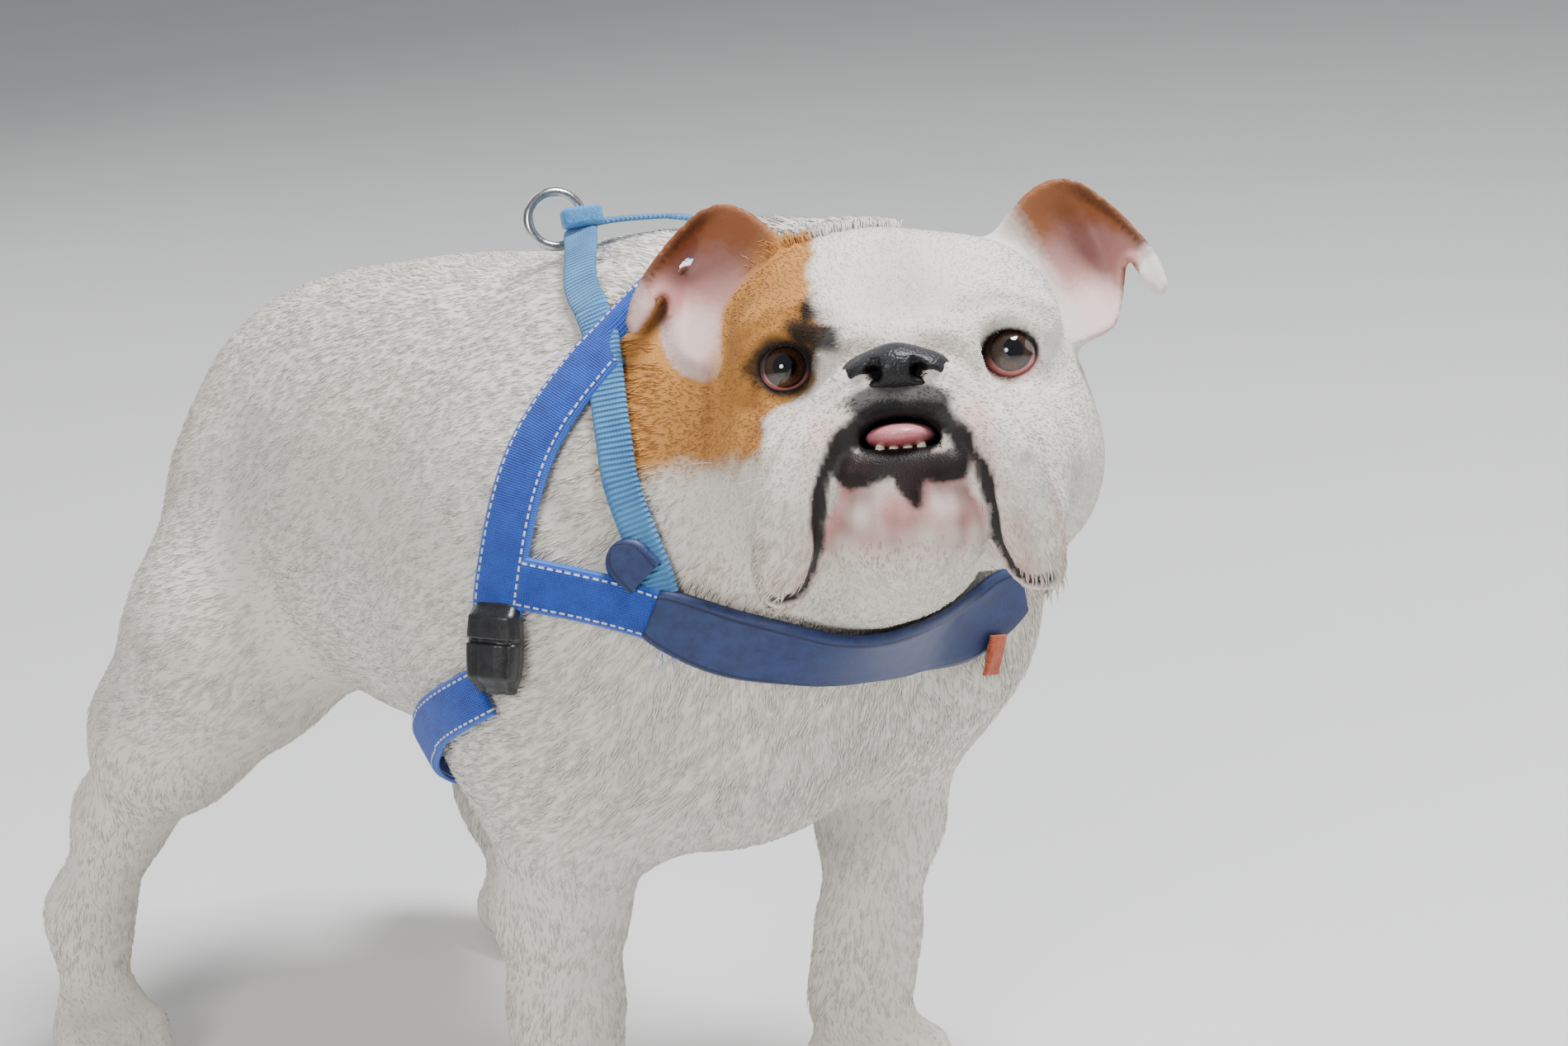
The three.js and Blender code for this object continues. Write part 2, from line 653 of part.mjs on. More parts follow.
// A band along a path of [x, y, z, height above the coat]
function band(path, shape) {
  const { wide, thick = WEB, low = LIFT, steps = 18, columns = 2, field = bodyField } = shape;
  const taper = shape.taper ?? (() => 1);
  const curve = new THREE.CatmullRomCurve3(path.map((p) => new THREE.Vector3(...p.slice(0, 3))));
  const heights = path.map((p) => p[3] ?? 0);
  const heightAt = (t) => {
    const f = t * (path.length - 1);
    const i = Math.min(Math.floor(f), path.length - 2);
    return mix(heights[i], heights[i + 1], f - i);
  };
  const centres = Array.from({ length: steps + 1 }, (_, i) => {
    const t = i / steps;
    return settle(field, curve.getPoint(t).toArray(), heightAt(t) + low, 60);
  });
  const points = [];
  for (let i = 0; i <= steps; i++) {
    const ahead = sub(centres[Math.min(i + 1, steps)], centres[Math.max(i - 1, 0)]);
    const normal = unit(slopeOf(field, centres[i]));
    const aside = unit(cross(normal, ahead));
    const level = heightAt(i / steps) + low;
    for (let j = 0; j <= columns; j++) {
      const shift = (j / columns - 0.5) * wide * taper(i / steps);
      const p = settle(field, add(centres[i], times(aside, shift)), level, 20);
      const out = unit(slopeOf(field, p));
      points.push(p, add(p, times(out, thick)));
    }
  }
  const at = (i, j, side) => (i * (columns + 1) + j) * 2 + side;
  const faces = [];
  const quad = (a, b, c, d) => faces.push(a, b, c, a, c, d);
  for (let i = 0; i < steps; i++) {
    for (let j = 0; j < columns; j++) {
      quad(at(i, j, 1), at(i + 1, j, 1), at(i + 1, j + 1, 1), at(i, j + 1, 1));
      quad(at(i, j, 0), at(i, j + 1, 0), at(i + 1, j + 1, 0), at(i + 1, j, 0));
    }
    quad(at(i, 0, 0), at(i + 1, 0, 0), at(i + 1, 0, 1), at(i, 0, 1));
    quad(at(i, columns, 1), at(i + 1, columns, 1), at(i + 1, columns, 0), at(i, columns, 0));
  }
  for (let j = 0; j < columns; j++) {
    quad(at(0, j, 0), at(0, j, 1), at(0, j + 1, 1), at(0, j + 1, 0));
    quad(at(steps, j, 0), at(steps, j + 1, 0), at(steps, j + 1, 1), at(steps, j, 1));
  }
  return solid(points, faces);
}

const APEX = [-14, 10, 396, 6];
const PATHS = {
  girth_strap_right: [
    [14, -56, 398],
    [-24, -56, 394],
    [-54, -56, 380],
    [-92, -47, 342],
    [-111, -43, 293],
    [-115, -43, 279],
  ],
  girth_strap_left: [
    [15, -56, 398],
    [48, -64, 392],
    [84, -56, 364],
    [112, -46, 330],
    [126, -34, 290],
    [128, -26, 262],
  ],
  belly_strap: [
    [-118, -38, 250],
    [-110, 2, 226],
    [-92, 36, 198],
    [-46, 66, 164],
    [0, 70, 156],
    [50, 62, 164],
    [98, 40, 198],
    [124, 4, 232],
    [129, -22, 256],
  ],
  neck_strap_right: [
    [-73, -92, 288],
    [-75, -90, 298],
    [-78, -80, 327],
    [-74, -72, 348],
    [-59, -50, 381],
    [-47, -24, 395],
    [-28, -4, 400, 3],
    APEX,
  ],
  neck_strap_left: [
    [100, -118, 262],
    [112, -112, 290],
    [110, -98, 326],
    [84, -80, 368],
    [44, -44, 396],
    [12, -4, 400, 3],
    [-8, 10, 398, 6],
  ],
  side_strap_right: [
    [-102, -56, 292],
    [-90, -72, 286],
    [-76, -90, 278],
  ],
  side_strap_left: [
    [129, -44, 262],
    [124, -72, 258],
    [114, -98, 256],
  ],
  chest_plate: [
    [-71, -93, 276],
    [-56, -107, 266],
    [-32, -127, 258],
    [5, -132, 251],
    [56, -111, 241],
    [78, -110, 243],
    [94, -110, 246],
  ],
  strap_tab: [
    [-81, -82, 303],
    [-80, -84, 295],
  ],
};
const tapes = Object.fromEntries(
  ["neck_strap_right", "neck_strap_left"].map((name) => [
    name,
    band(PATHS[name], { wide: TAPE_WIDE, thick: 1.8, steps: 20 }),
  ]),
);
const straps = Object.fromEntries(
  ["girth_strap_right", "girth_strap_left", "side_strap_right", "side_strap_left"].map((name) => [
    name,
    band(PATHS[name], {
      wide: STRAP_WIDE,
      thick: WEB + 1.6,
      steps: name.startsWith("side") ? 5 : 13,
    }),
  ]),
);
const belly_strap = band(PATHS.belly_strap, { wide: STRAP_WIDE, steps: 20 });
const plateWhole = band(PATHS.chest_plate, {
  wide: 36,
  thick: 4.5,
  low: 2.5,
  steps: 12,
  field: chestField,
  taper: (t) => 0.55 + 0.45 * Math.sin(Math.PI * t) ** 0.6,
});
const buckleWhole = band(
  [
    [-115, -43, 281],
    [-119, -44, 252],
  ],
  { wide: STRAP_WIDE + 3, thick: 9.5, steps: 6, taper: (t) => 0.8 + 0.2 * Math.sin(Math.PI * t) },
);
const tabWhole = band(PATHS.strap_tab, { wide: 17, thick: 5.4, steps: 3 });
const tagWhole = band(
  [
    [77, -110, 232],
    [74, -109, 219],
  ],
  { wide: 8, thick: 2.2, low: 7.5, steps: 3 },
);
const apexAt = settle(bodyField, APEX.slice(0, 3), APEX[3] + LIFT, 60);
const RING_R = 11;
const WIRE_R = 2;
const ringAt = add(apexAt, [-4, 11, 4]);
const torus = new THREE.TorusGeometry(RING_R, WIRE_R, 6, 18);
torus.rotateX(1.25);
torus.rotateZ(-0.5);
torus.translate(...ringAt);
const ring = solidOf(torus);
const keeper = new THREE.BoxGeometry(TAPE_WIDE + 2, 12, 8, 1, 1, 1);
keeper.rotateX(-0.3);
keeper.rotateZ(-0.5);
keeper.translate(...add(apexAt, [1, 0, 5]));
const strapLoopWhole = solidOf(keeper);

// Assembly: every piece keeps free of those laid before it
const group = new THREE.Group();
const look = (color, roughness, metalness = 0) =>
  new THREE.MeshStandardMaterial({ color, roughness, metalness });
const LOOKS = {
  coat: look(0xf1ece4, 0.9),
  ear_skin: look(0xa9705a, 0.8),
  nose_leather: look(0x2a2a2e, 0.45),
  lip_skin: look(0x9a7a78, 0.6),
  tongue_flesh: look(0xc98a94, 0.4),
  tooth: look(0xe8e0cc, 0.35),
  eye: look(0x2a1a14, 0.08),
  claw_horn: look(0x6b5a50, 0.5),
  royal_webbing: look(0x2c5fc4, 0.8),
  pale_webbing: look(0x6ea8d8, 0.8),
  navy_rubber: look(0x1d2740, 0.6),
  black_plastic: look(0x141417, 0.4),
  ring_steel: look(0xb8bcc2, 0.25, 1),
  orange_tag: look(0xe0662a, 0.7),
};
// The mesh of a solid without needles: corners that nearly touch become one
function settled(made) {
  const mesh = made.getMesh();
  const raw = new THREE.BufferGeometry();
  raw.setAttribute("position", new THREE.BufferAttribute(Float32Array.from(mesh.vertProperties), 3));
  raw.setIndex(new THREE.BufferAttribute(Uint32Array.from(mesh.triVerts), 1));
  const tries = [0.004, 0.01, 0.02, 0.04, 0.06, 0.09, 0.12].map((near) => joined(raw, near));
  return tries.find(isClosed) ?? tries[0];
}
function joined(raw, near) {
  const merged = mergeVertices(raw, near);
  const corners = merged.index.array;
  const whole = [];
  for (let n = 0; n < corners.length; n += 3) {
    const [a, b, c] = corners.slice(n, n + 3);
    if (a !== b && b !== c && c !== a) whole.push(a, b, c);
  }
  merged.setIndex(whole);
  return merged;
}
// Every edge of a closed surface lies between exactly two faces
function isClosed(geometry) {
  const faces = geometry.index.array;
  const shared = new Map();
  for (let n = 0; n < faces.length; n++) {
    const next = n % 3 === 2 ? n - 2 : n + 1;
    const [a, b] = [faces[n], faces[next]].sort((p, q) => p - q);
    const edge = `${a}-${b}`;
    shared.set(edge, (shared.get(edge) ?? 0) + 1);
  }
  return [...shared.values()].every((n) => n === 2);
}
function lay(name, made, slot) {
  const kept = largest(made);
  const geometry = settled(kept);
  const piece = new THREE.Mesh(geometry, LOOKS[slot]);
  piece.name = name;
  group.add(piece);
  return kept;
}
const clearOf = (made, others) => others.reduce((rest, other) => rest.subtract(grown(other)), made);

lay("torso", torsoPart, "coat");
lay("neck", neckPart, "coat");
lay("head", headPart, "coat");
lay("lower_jaw", jawPart, "lip_skin");
lay("nose", noseWhole, "nose_leather");
lay("tongue", tongueWhole, "tongue_flesh");
lay("lower_teeth", teethPart, "tooth");
Object.entries(legParts).forEach(([name, part]) => lay(name, part, "coat"));
lay("tail", clearOf(skin(tailForm, lines(-20, 26, 8), lines(244, 322, 9), lines(234, 332, 9)), [body]), "coat");
const ears = ["right", "left"].map((word, n) => {
  const side = n === 0 ? -1 : 1;
  lay(`eye_${word}`, ball(eyeAt(side), EYE_R), "eye");
  return lay(`ear_${word}`, clearOf(earShell(side), [headSkin, body]), "ear_skin");
});
for (const foot of FEET) {
  const made = pawParts(foot);
  lay(made.name, made.paw, "coat");
  made.claws.forEach((claw, n) => lay(`${made.clawName}_${n + 1}`, claw, "claw_horn"));
}
const flesh = [body, headSkin, ...ears];
const tapeRight = lay("neck_strap_right", clearOf(tapes.neck_strap_right, flesh), "pale_webbing");
const loopPart = lay("strap_loop", strapLoopWhole.subtract(grown(ring)).subtract(grown(tapeRight)), "pale_webbing");
const tapeLeft = lay(
  "neck_strap_left",
  clearOf(tapes.neck_strap_left, [...flesh, tapeRight, loopPart]),
  "pale_webbing",
);
const plate = lay("chest_plate", clearOf(plateWhole, [...flesh, jawWhole, tapeRight, tapeLeft]), "navy_rubber");
const buckle = lay("buckle", clearOf(buckleWhole, [...flesh, tapeRight]), "black_plastic");
const girthRight = lay(
  "girth_strap_right",
  clearOf(straps.girth_strap_right, [...flesh, tapeRight, tapeLeft, buckle]),
  "royal_webbing",
);
const girthLeft = lay(
  "girth_strap_left",
  clearOf(straps.girth_strap_left, [...flesh, tapeRight, tapeLeft, girthRight]),
  "royal_webbing",
);
const sideRight = lay("side_strap_right", clearOf(straps.side_strap_right, [...flesh, tapeRight, girthRight, plate, buckle]), "royal_webbing");
lay("side_strap_left", clearOf(straps.side_strap_left, [...flesh, tapeLeft, girthLeft, plate]), "royal_webbing");
lay("belly_strap", clearOf(belly_strap, [...flesh, buckle, girthLeft]), "royal_webbing");
lay("strap_tab", clearOf(tabWhole, [...flesh, tapeRight, plate, sideRight]), "navy_rubber");
lay("tag", clearOf(tagWhole, [...flesh, plate]), "orange_tag");
lay("ring", ring, "ring_steel");

// The lowest middle point of the whole is the origin
const bounds = new THREE.Box3().setFromObject(group);
const middle = bounds.getCenter(new THREE.Vector3());
group.position.set(-middle.x, -middle.y, -bounds.min.z);

export default group;
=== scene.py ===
from math import pi, radians

import bpy
import numpy as np
from mathutils import Euler, Matrix, Vector
from mathutils.bvhtree import BVHTree


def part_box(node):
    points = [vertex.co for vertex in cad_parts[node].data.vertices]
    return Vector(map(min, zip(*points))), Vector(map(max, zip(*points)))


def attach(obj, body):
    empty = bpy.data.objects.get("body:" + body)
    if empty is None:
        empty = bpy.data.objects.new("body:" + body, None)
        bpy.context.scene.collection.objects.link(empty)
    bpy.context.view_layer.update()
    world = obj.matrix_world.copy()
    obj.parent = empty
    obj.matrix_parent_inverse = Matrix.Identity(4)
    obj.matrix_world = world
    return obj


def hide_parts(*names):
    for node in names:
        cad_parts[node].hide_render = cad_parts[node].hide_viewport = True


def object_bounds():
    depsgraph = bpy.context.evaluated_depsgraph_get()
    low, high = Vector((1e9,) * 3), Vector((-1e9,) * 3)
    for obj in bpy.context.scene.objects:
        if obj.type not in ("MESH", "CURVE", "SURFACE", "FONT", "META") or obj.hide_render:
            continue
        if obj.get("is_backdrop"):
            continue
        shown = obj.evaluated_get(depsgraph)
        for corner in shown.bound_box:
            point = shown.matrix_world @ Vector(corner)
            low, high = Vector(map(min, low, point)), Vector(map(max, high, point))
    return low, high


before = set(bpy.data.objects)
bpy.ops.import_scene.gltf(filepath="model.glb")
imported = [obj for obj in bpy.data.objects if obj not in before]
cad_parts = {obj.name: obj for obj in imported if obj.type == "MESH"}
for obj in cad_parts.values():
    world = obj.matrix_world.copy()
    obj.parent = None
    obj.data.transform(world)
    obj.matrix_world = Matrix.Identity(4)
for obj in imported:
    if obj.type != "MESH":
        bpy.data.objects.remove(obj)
cad_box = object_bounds()
bpy.ops.object.select_all(action="DESELECT")

# The dog's own frame
# All of its forms are worked out in millimetres round a point on the floor between the front
# feet. The model's frame starts under the middle of its box, so the eyes give the shift.
MM = 0.001
FACE = np.array([-8.0, -163.0, 370.0])
HEAD_AXES = np.array(Euler((radians(-21), 0, radians(-43.5))).to_matrix())
EYE_APART = 41.7
EYE_R = 11.5


def from_head(p):
    return np.asarray(p, float) @ HEAD_AXES.T + FACE


def into_head(p):
    return (p - FACE) @ HEAD_AXES


def eye_centre(side):
    return np.array([side * EYE_APART, 8.5, 2.0])


eye_box = np.array(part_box("eye_right")).mean(axis=0) / MM
SHIFT = eye_box - from_head(eye_centre(-1))


def to_scene(p):
    return (np.asarray(p) + SHIFT) * MM


# Camera, floor and light
# A tripod camera a little above the dog's back, turned to its right front, with a long lens,
# in a room with a pale floor and large soft lights.
CAMERA_AT = np.array([-885.6, -1135.6, 688.2])
CAMERA_RIGHT = Vector((0.7477, -0.6587, -0.0838)).normalized()
CAMERA_AHEAD = Vector((0.6179, 0.7364, -0.2756)).normalized()
CAMERA_UP = CAMERA_RIGHT.cross(CAMERA_AHEAD)
LENS = 83.4

bpy.ops.object.camera_add()
camera = bpy.context.object
camera.name = "tripod_camera"
camera.data.lens = LENS
camera.data.sensor_width = 36.0
camera.data.clip_start = 0.05
axes = Matrix((CAMERA_RIGHT, CAMERA_UP, -CAMERA_AHEAD)).transposed().to_4x4()
camera.matrix_world = Matrix.Translation(Vector(to_scene(CAMERA_AT))) @ axes
bpy.context.scene.camera = camera


def soft_light(name, place, aim, size, power, tint):
    bpy.ops.object.light_add(type="AREA", location=place)
    lamp = bpy.context.object
    lamp.name = name
    lamp.data.shape = "DISK"
    lamp.data.size = size
    lamp.data.energy = power
    lamp.data.color = tint
    way = Vector(aim) - Vector(place)
    lamp.rotation_euler = way.to_track_quat("-Z", "Y").to_euler()
    return lamp


soft_light("overhead_light", (0.5, -0.5, 2.3), (0, 0, 0.25), 0.9, 88, (0.97, 0.985, 1.0))
soft_light("window_light", (-2.1, -1.0, 1.4), (0, 0, 0.25), 0.9, 34, (1.0, 0.975, 0.94))
soft_light("fill_light", (1.9, -1.3, 0.9), (0, 0, 0.2), 1.6, 10, (0.95, 0.97, 1.0))
soft_light("rear_light", (0.2, 2.2, 1.6), (0, 0, 0.25), 1.6, 18, (1.0, 1.0, 1.0))

world = bpy.data.worlds.new("pale_room")
bpy.context.scene.world = world
world.use_nodes = True
backdrop = world.node_tree.nodes["Background"]
backdrop.inputs["Color"].default_value = (0.86, 0.89, 0.93, 1)
backdrop.inputs["Strength"].default_value = 0.26

bpy.ops.mesh.primitive_plane_add(size=9, location=(0, 0, -0.0004))
floor = bpy.context.object
floor.name = "pale_floor"
floor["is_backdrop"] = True


class Value:
    """A shader socket that takes part in Python arithmetic."""

    def __init__(self, tree, socket):
        self.tree = tree
        self.socket = socket

    def node(self, kind, settings=None, inputs=None, output=0):
        made = self.tree.nodes.new(kind)
        for key, value in (settings or {}).items():
            setattr(made, key, value)
        for key, value in (inputs or {}).items():
            if isinstance(value, Value):
                self.tree.links.new(value.socket, made.inputs[key])
            else:
                made.inputs[key].default_value = value
        return Value(self.tree, made.outputs[output])

    def maths(self, operation, *others):
        inputs = dict(enumerate((self, *others)))
        return self.node("ShaderNodeMath", {"operation": operation}, inputs)

    def __add__(self, other):
        return self.maths("ADD", other)

    def __sub__(self, other):
        return self.maths("SUBTRACT", other)

    def __mul__(self, other):
        return self.maths("MULTIPLY", other)

    def __truediv__(self, other):
        return self.maths("DIVIDE", other)

    def __rsub__(self, other):
        return self.maths("MULTIPLY", -1.0).maths("ADD", other)

    __radd__ = __add__
    __rmul__ = __mul__

    def clamped(self, low, high):
        settings = {"clamp": True}
        inputs = {"Value": self, "From Min": low, "From Max": high}
        return self.node("ShaderNodeMapRange", settings, inputs)

    def mixed(self, first, second):
        inputs = {"Factor": self, "A": first, "B": second}
        return self.node("ShaderNodeMix", {"data_type": "RGBA"}, inputs, output=2)


def finish_named(
    name, roughness=0.6, metallic=0.0, coat=0.0, sheen=0.0, subsurface=0.0, specular=0.5
):
    """A new material with its shader, and the value that reads the piece's own coordinates."""
    made = bpy.data.materials.new(name)
    made.use_nodes = True
    shader = made.node_tree.nodes["Principled BSDF"]
    shader.inputs["Roughness"].default_value = roughness
    shader.inputs["Metallic"].default_value = metallic
    shader.inputs["Coat Weight"].default_value = coat
    shader.inputs["Coat Roughness"].default_value = 0.05
    shader.inputs["Sheen Weight"].default_value = sheen
    shader.inputs["Subsurface Weight"].default_value = subsurface
    shader.inputs["Specular IOR Level"].default_value = specular
    shader.inputs["Subsurface Radius"].default_value = (0.004, 0.0015, 0.0008)
    start = Value(made.node_tree, None)
    place = start.node("ShaderNodeTexCoord", output=3)
    return made, shader, place


def feed(shader, name, value):
    value.tree.links.new(value.socket, shader.inputs[name])


def noise(place, scale, detail=3.0, roughness=0.55):
    inputs = {"Vector": place, "Scale": scale, "Detail": detail, "Roughness": roughness}
    return place.node("ShaderNodeTexNoise", None, inputs)


def raised(place, height, distance, strength=1.0):
    inputs = {"Height": height, "Distance": distance, "Strength": strength}
    return place.node("ShaderNodeBump", None, inputs)


floor_finish, shader, place = finish_named("pale_paint", roughness=0.8)
feed(shader, "Base Color", noise(place, 3).mixed((0.74, 0.74, 0.73, 1), (0.8, 0.8, 0.79, 1)))
floor.data.materials.append(floor_finish)


# Body under the coat
# Muscle and loose skin of a heavy, short dog, built up from eggs and tapered bones that run
# into each other, and drawn as one skin from the nose to the paws.
def lengths(v):
    return np.sqrt(np.einsum("ij,ij->i", v, v))


def egg(centre, radii, pitch=0):
    turn = np.array(Euler((radians(pitch), 0, 0)).to_matrix())
    radii = np.array(radii, float)

    def form(p):
        q = (p - centre) @ turn
        near = lengths(q / radii)
        slope = lengths(q / radii**2)
        return near * (near - 1) / np.maximum(slope, 1e-6)

    return form


def bone(a, b, ra, rb):
    a, b = np.array(a, float), np.array(b, float)
    along = b - a

    def form(p):
        t = np.clip((p - a) @ along / (along @ along), 0, 1)
        return lengths(p - a - t[:, None] * along) - ra - (rb - ra) * t

    return form


def soft_min(a, b, k):
    h = np.maximum(k - np.abs(a - b), 0) / k
    return np.minimum(a, b) - h * h * k / 4


def fuse(k, *forms):
    def form(p):
        d = forms[0](p)
        for other in forms[1:]:
            d = soft_min(d, other(p), k)
        return d

    return form


def carve(k, form, *cutters):
    def carved(p):
        d = form(p)
        for cutter in cutters:
            d = -soft_min(-d, cutter(p), k)
        return d

    return carved


def limb(joints, soft=12):
    bones = [bone(a[:3], b[:3], a[3], b[3]) for a, b in zip(joints, joints[1:])]
    return fuse(soft, *bones)


def pair(make):
    return [make(1), make(-1)]


def in_head(form):
    return lambda p: form(into_head(p))


def furrow(points, width, depth):
    """How much a groove along these points lowers the skin at each place."""
    bones = [bone(a, b, 0, 0) for a, b in zip(points, points[1:])]

    def lowering(p):
        away = np.min([b(p) for b in bones], axis=0)
        return depth * np.exp(-((away / width) ** 2))

    return lowering


def mirrored(points, side):
    return [(x * side, y, z) for x, y, z in points]


trunk = fuse(
    46,
    egg((0, 62, 280), (106, 165, 99)),
    egg((4, -26, 234), (92, 80, 88)),
    egg((2, 8, 313), (76, 120, 66), -3),
    egg((2, 164, 284), (78, 114, 80), -6),
    egg((4, 226, 284), (65, 66, 62), -16),
    egg((0, 120, 250), (82, 120, 58), 8),
    egg((-72, -8, 262), (46, 56, 84), 4),
    egg((98, -46, 250), (48, 60, 92), 14),
)
neck = fuse(
    34,
    bone((4, -34, 312), (28, -98, 326), 88, 68),
    bone((4, 0, 328), (30, -104, 353), 56, 46),
    bone((0, -84, 282), (-14, -134, 304), 50, 38),
)
FORE_RIGHT = [
    (-75, -28, 228, 42), (-68, -17, 184, 30), (-64, 8, 132, 25.5), (-64, 12, 84, 21),
    (-67, 12, 52, 19.5), (-68, 8, 34, 19),
]
FORE_LEFT = [
    (85, -50, 224, 48), (95, -20, 184, 37), (88, -23, 132, 25), (76, -22, 78, 19.5),
    (70, -20, 50, 18.5), (69, -24, 34, 18.5),
]
HIND_RIGHT = [
    (-46, 220, 262, 47), (-84, 204, 214, 46), (-101, 240, 170, 33), (-109, 282, 122, 18),
    (-125, 298, 74, 16), (-128, 296, 36, 17),
]
HIND_LEFT = [
    (50, 220, 266, 54), (76, 182, 216, 42), (86, 222, 168, 28), (90, 282, 120, 18),
    (93, 270, 74, 16), (94, 258, 36, 17),
]
hock_right = bone((-109, 286, 128), (-111, 304, 118), 12, 9)
hock_left = bone((90, 286, 126), (89, 303, 116), 12, 9)
tail = limb([(3, 268, 306, 19), (2, 294, 292, 15), (6, 306, 268, 10), (2, 310, 246, 5.5)], 10)

# Each paw: where it stands, how it turns and how big it is
PAWS = {
    "forepaw_right": ((-69, 8, 0), -8, 1.0),
    "forepaw_left": ((69, -24, 0), 8, 1.0),
    "hindpaw_right": ((-129, 292, 0), -14, 0.92),
    "hindpaw_left": ((94, 254, 0), 10, 0.92),
}
SOLE_CUT = 1.5
TOES = [(n * 12.5, -34 + 4.5 * abs(n)) for n in (-1.5, -0.5, 0.5, 1.5)]


def toe(x, y):
    knuckle = (x * 0.9, y * 0.62, 24, 11.5)
    return limb([(x * 0.55, -2, 28, 13), knuckle, (x, y, 10.5 - SOLE_CUT, 10.5)], 5)


paw_form = fuse(9, fuse(3, *[toe(x, y) for x, y in TOES]), egg((0, 5, 17.5), (26, 27, 20)))


def paw_turn(name):
    return np.array(Euler((0, 0, radians(PAWS[name][1]))).to_matrix())


def paw(name):
    foot, _, scale = PAWS[name]
    turn = paw_turn(name)
    return lambda p: paw_form((p - np.array(foot)) @ turn / scale) * scale


skull = fuse(
    26,
    egg((0, 52, 5), (58, 60, 50)),
    *pair(lambda s: egg((s * 30, 34, 14), (30, 34, 32))),
)
cheeks = pair(lambda s: egg((s * 38, 42, -32), (38, 46, 44)))
nose_roll = bone((-17, -20, 3), (17, -20, 3), 11, 11)
chops = pair(
    lambda s: limb(
        [
            (s * 15, -27, -24, 13), (s * 34, -26, -42, 16), (s * 43, -19, -62, 14),
            (s * 45, -15, -78, 9),
        ],
        12,
    )
)
jowls = pair(lambda s: bone((s * 44, 4, -38), (s * 40, 6, -62), 20, 14))
muzzle = egg((0, -3, -24), (42, 37, 23))
head_bare = fuse(20, skull, *cheeks, muzzle, nose_roll, *chops, *jowls)
brows = pair(lambda s: bone((s * 26, -3, 17), (s * 52, 8, 15), 8, 8))
head_form = carve(
    6,
    fuse(16, head_bare, *brows),
    bone((0, -14, 26), (0, 0, 52), 2.5, 2),
    *pair(lambda s: egg((s * EYE_APART, -4, 0), (11, 9, 10))),
)
jaw_form = fuse(
    7,
    fuse(14, egg((0, -22, -60), (33, 25, 25)), bone((0, -8, -64), (0, 34, -60), 22, 28)),
    bone((-17, -37, -42.6), (17, -37, -42.6), 8.4, 8.4),
)
mouth_room = egg((0, -34, -31), (14, 18, 6.4))

# What the harness and the ears are laid on
body_form = fuse(
    30,
    trunk,
    fuse(26, in_head(head_bare), neck),
    limb(FORE_RIGHT, 20),
    limb(FORE_LEFT, 20),
    fuse(12, limb(HIND_RIGHT, 24), hock_right),
    fuse(12, limb(HIND_LEFT, 24), hock_left),
)

# Lines of the lips in the head's frame, the groove under the nose, and folds of the neck
LIP_LINE = [
    (49, -21, -84), (41, -22, -83), (36, -25, -77), (33, -30, -70), (32, -37, -61),
    (30, -42, -51), (27, -44, -43), (22, -44, -35),
]
LIP_ARCH = [(22, -44, -35), (14, -44, -25), (7, -44, -22), (0, -44, -21)]
PHILTRUM = furrow([(0, -46, -16), (0, -44, -26)], 1.5, 1.6)
NECK_FOLDS = [
    furrow([(-96, -30, 360), (-100, -62, 316), (-74, -104, 276)], 7, 2.5),
    furrow([(-40, -132, 262), (0, -146, 250), (50, -136, 252)], 8, 2.5),
    furrow([(-104, -8, 238), (-96, 22, 208), (-76, 38, 182)], 8, 3.0),
    furrow([(112, -36, 232), (106, -2, 206), (92, 14, 182)], 8, 3.0),
]

# Each row of an ear runs from its base to its tip: the upper edge and the lower edge
EAR_ROWS = [
    ((34, 50, 44), (56, 44, 4)),
    ((46, 44, 58), (71, 34, 8)),
    ((58, 44, 68), (81, 40, 14)),
    ((70, 46, 69), (85, 48, 27)),
    ((82, 46, 60), (87, 48, 37)),
    ((92, 43, 48), (91, 42, 38)),
    ((98.5, 39, 37), (95, 38, 30)),
    ((101.5, 37, 27), (100, 37, 24)),
]
EAR_CUP = 15
EAR_FORWARD = -8
EAR_THICK = 5.6
EAR_ALONG = 48
EAR_ACROSS = 20


def along_curve(points, t):
    """Points at each part t of the way along a smooth curve through the given ones."""
    points = np.array(points, float)
    n = len(points) - 1
    padded = np.vstack([2 * points[0] - points[1], points, 2 * points[-1] - points[-2]])
    f = np.clip(np.asarray(t, float), 0, 1) * n
    i = np.minimum(f.astype(int), n - 1)
    u = (f - i)[:, None]
    a, b, c, d = (padded[i + k] for k in range(4))
    bend = (2 * b) + (c - a) * u + (2 * a - 5 * b + 4 * c - d) * u**2
    return 0.5 * (bend + (3 * b - a - 3 * c + d) * u**3)


def ear_sheet(side):
    """A cupped sheet through the middle of one ear."""
    t = np.linspace(0, 1, EAR_ALONG + 1)
    upper = along_curve([row[0] for row in EAR_ROWS], t)
    lower = along_curve([row[1] for row in EAR_ROWS], t)
    v = np.linspace(0, 1, EAR_ACROSS + 1)[None, :, None]
    sheet = upper[:, None] * (1 - v) + lower[:, None] * v
    span = np.clip(lengths(upper - lower) / 40, 0.1, 1)
    cup = EAR_CUP * np.sin(pi * np.clip(t * 1.15, 0, 1)) ** 0.7 * span
    sheet[:, :, 1] += cup[:, None] * np.sin(pi * v[0, :, 0]) + EAR_FORWARD
    sheet[:, :, 0] *= side
    points = from_head(sheet.reshape(-1, 3))
    at = np.arange(len(points)).reshape(EAR_ALONG + 1, EAR_ACROSS + 1)
    quads = np.stack([at[:-1, :-1], at[:-1, 1:], at[1:, 1:], at[1:, :-1]], -1).reshape(-1, 4)
    return points, quads


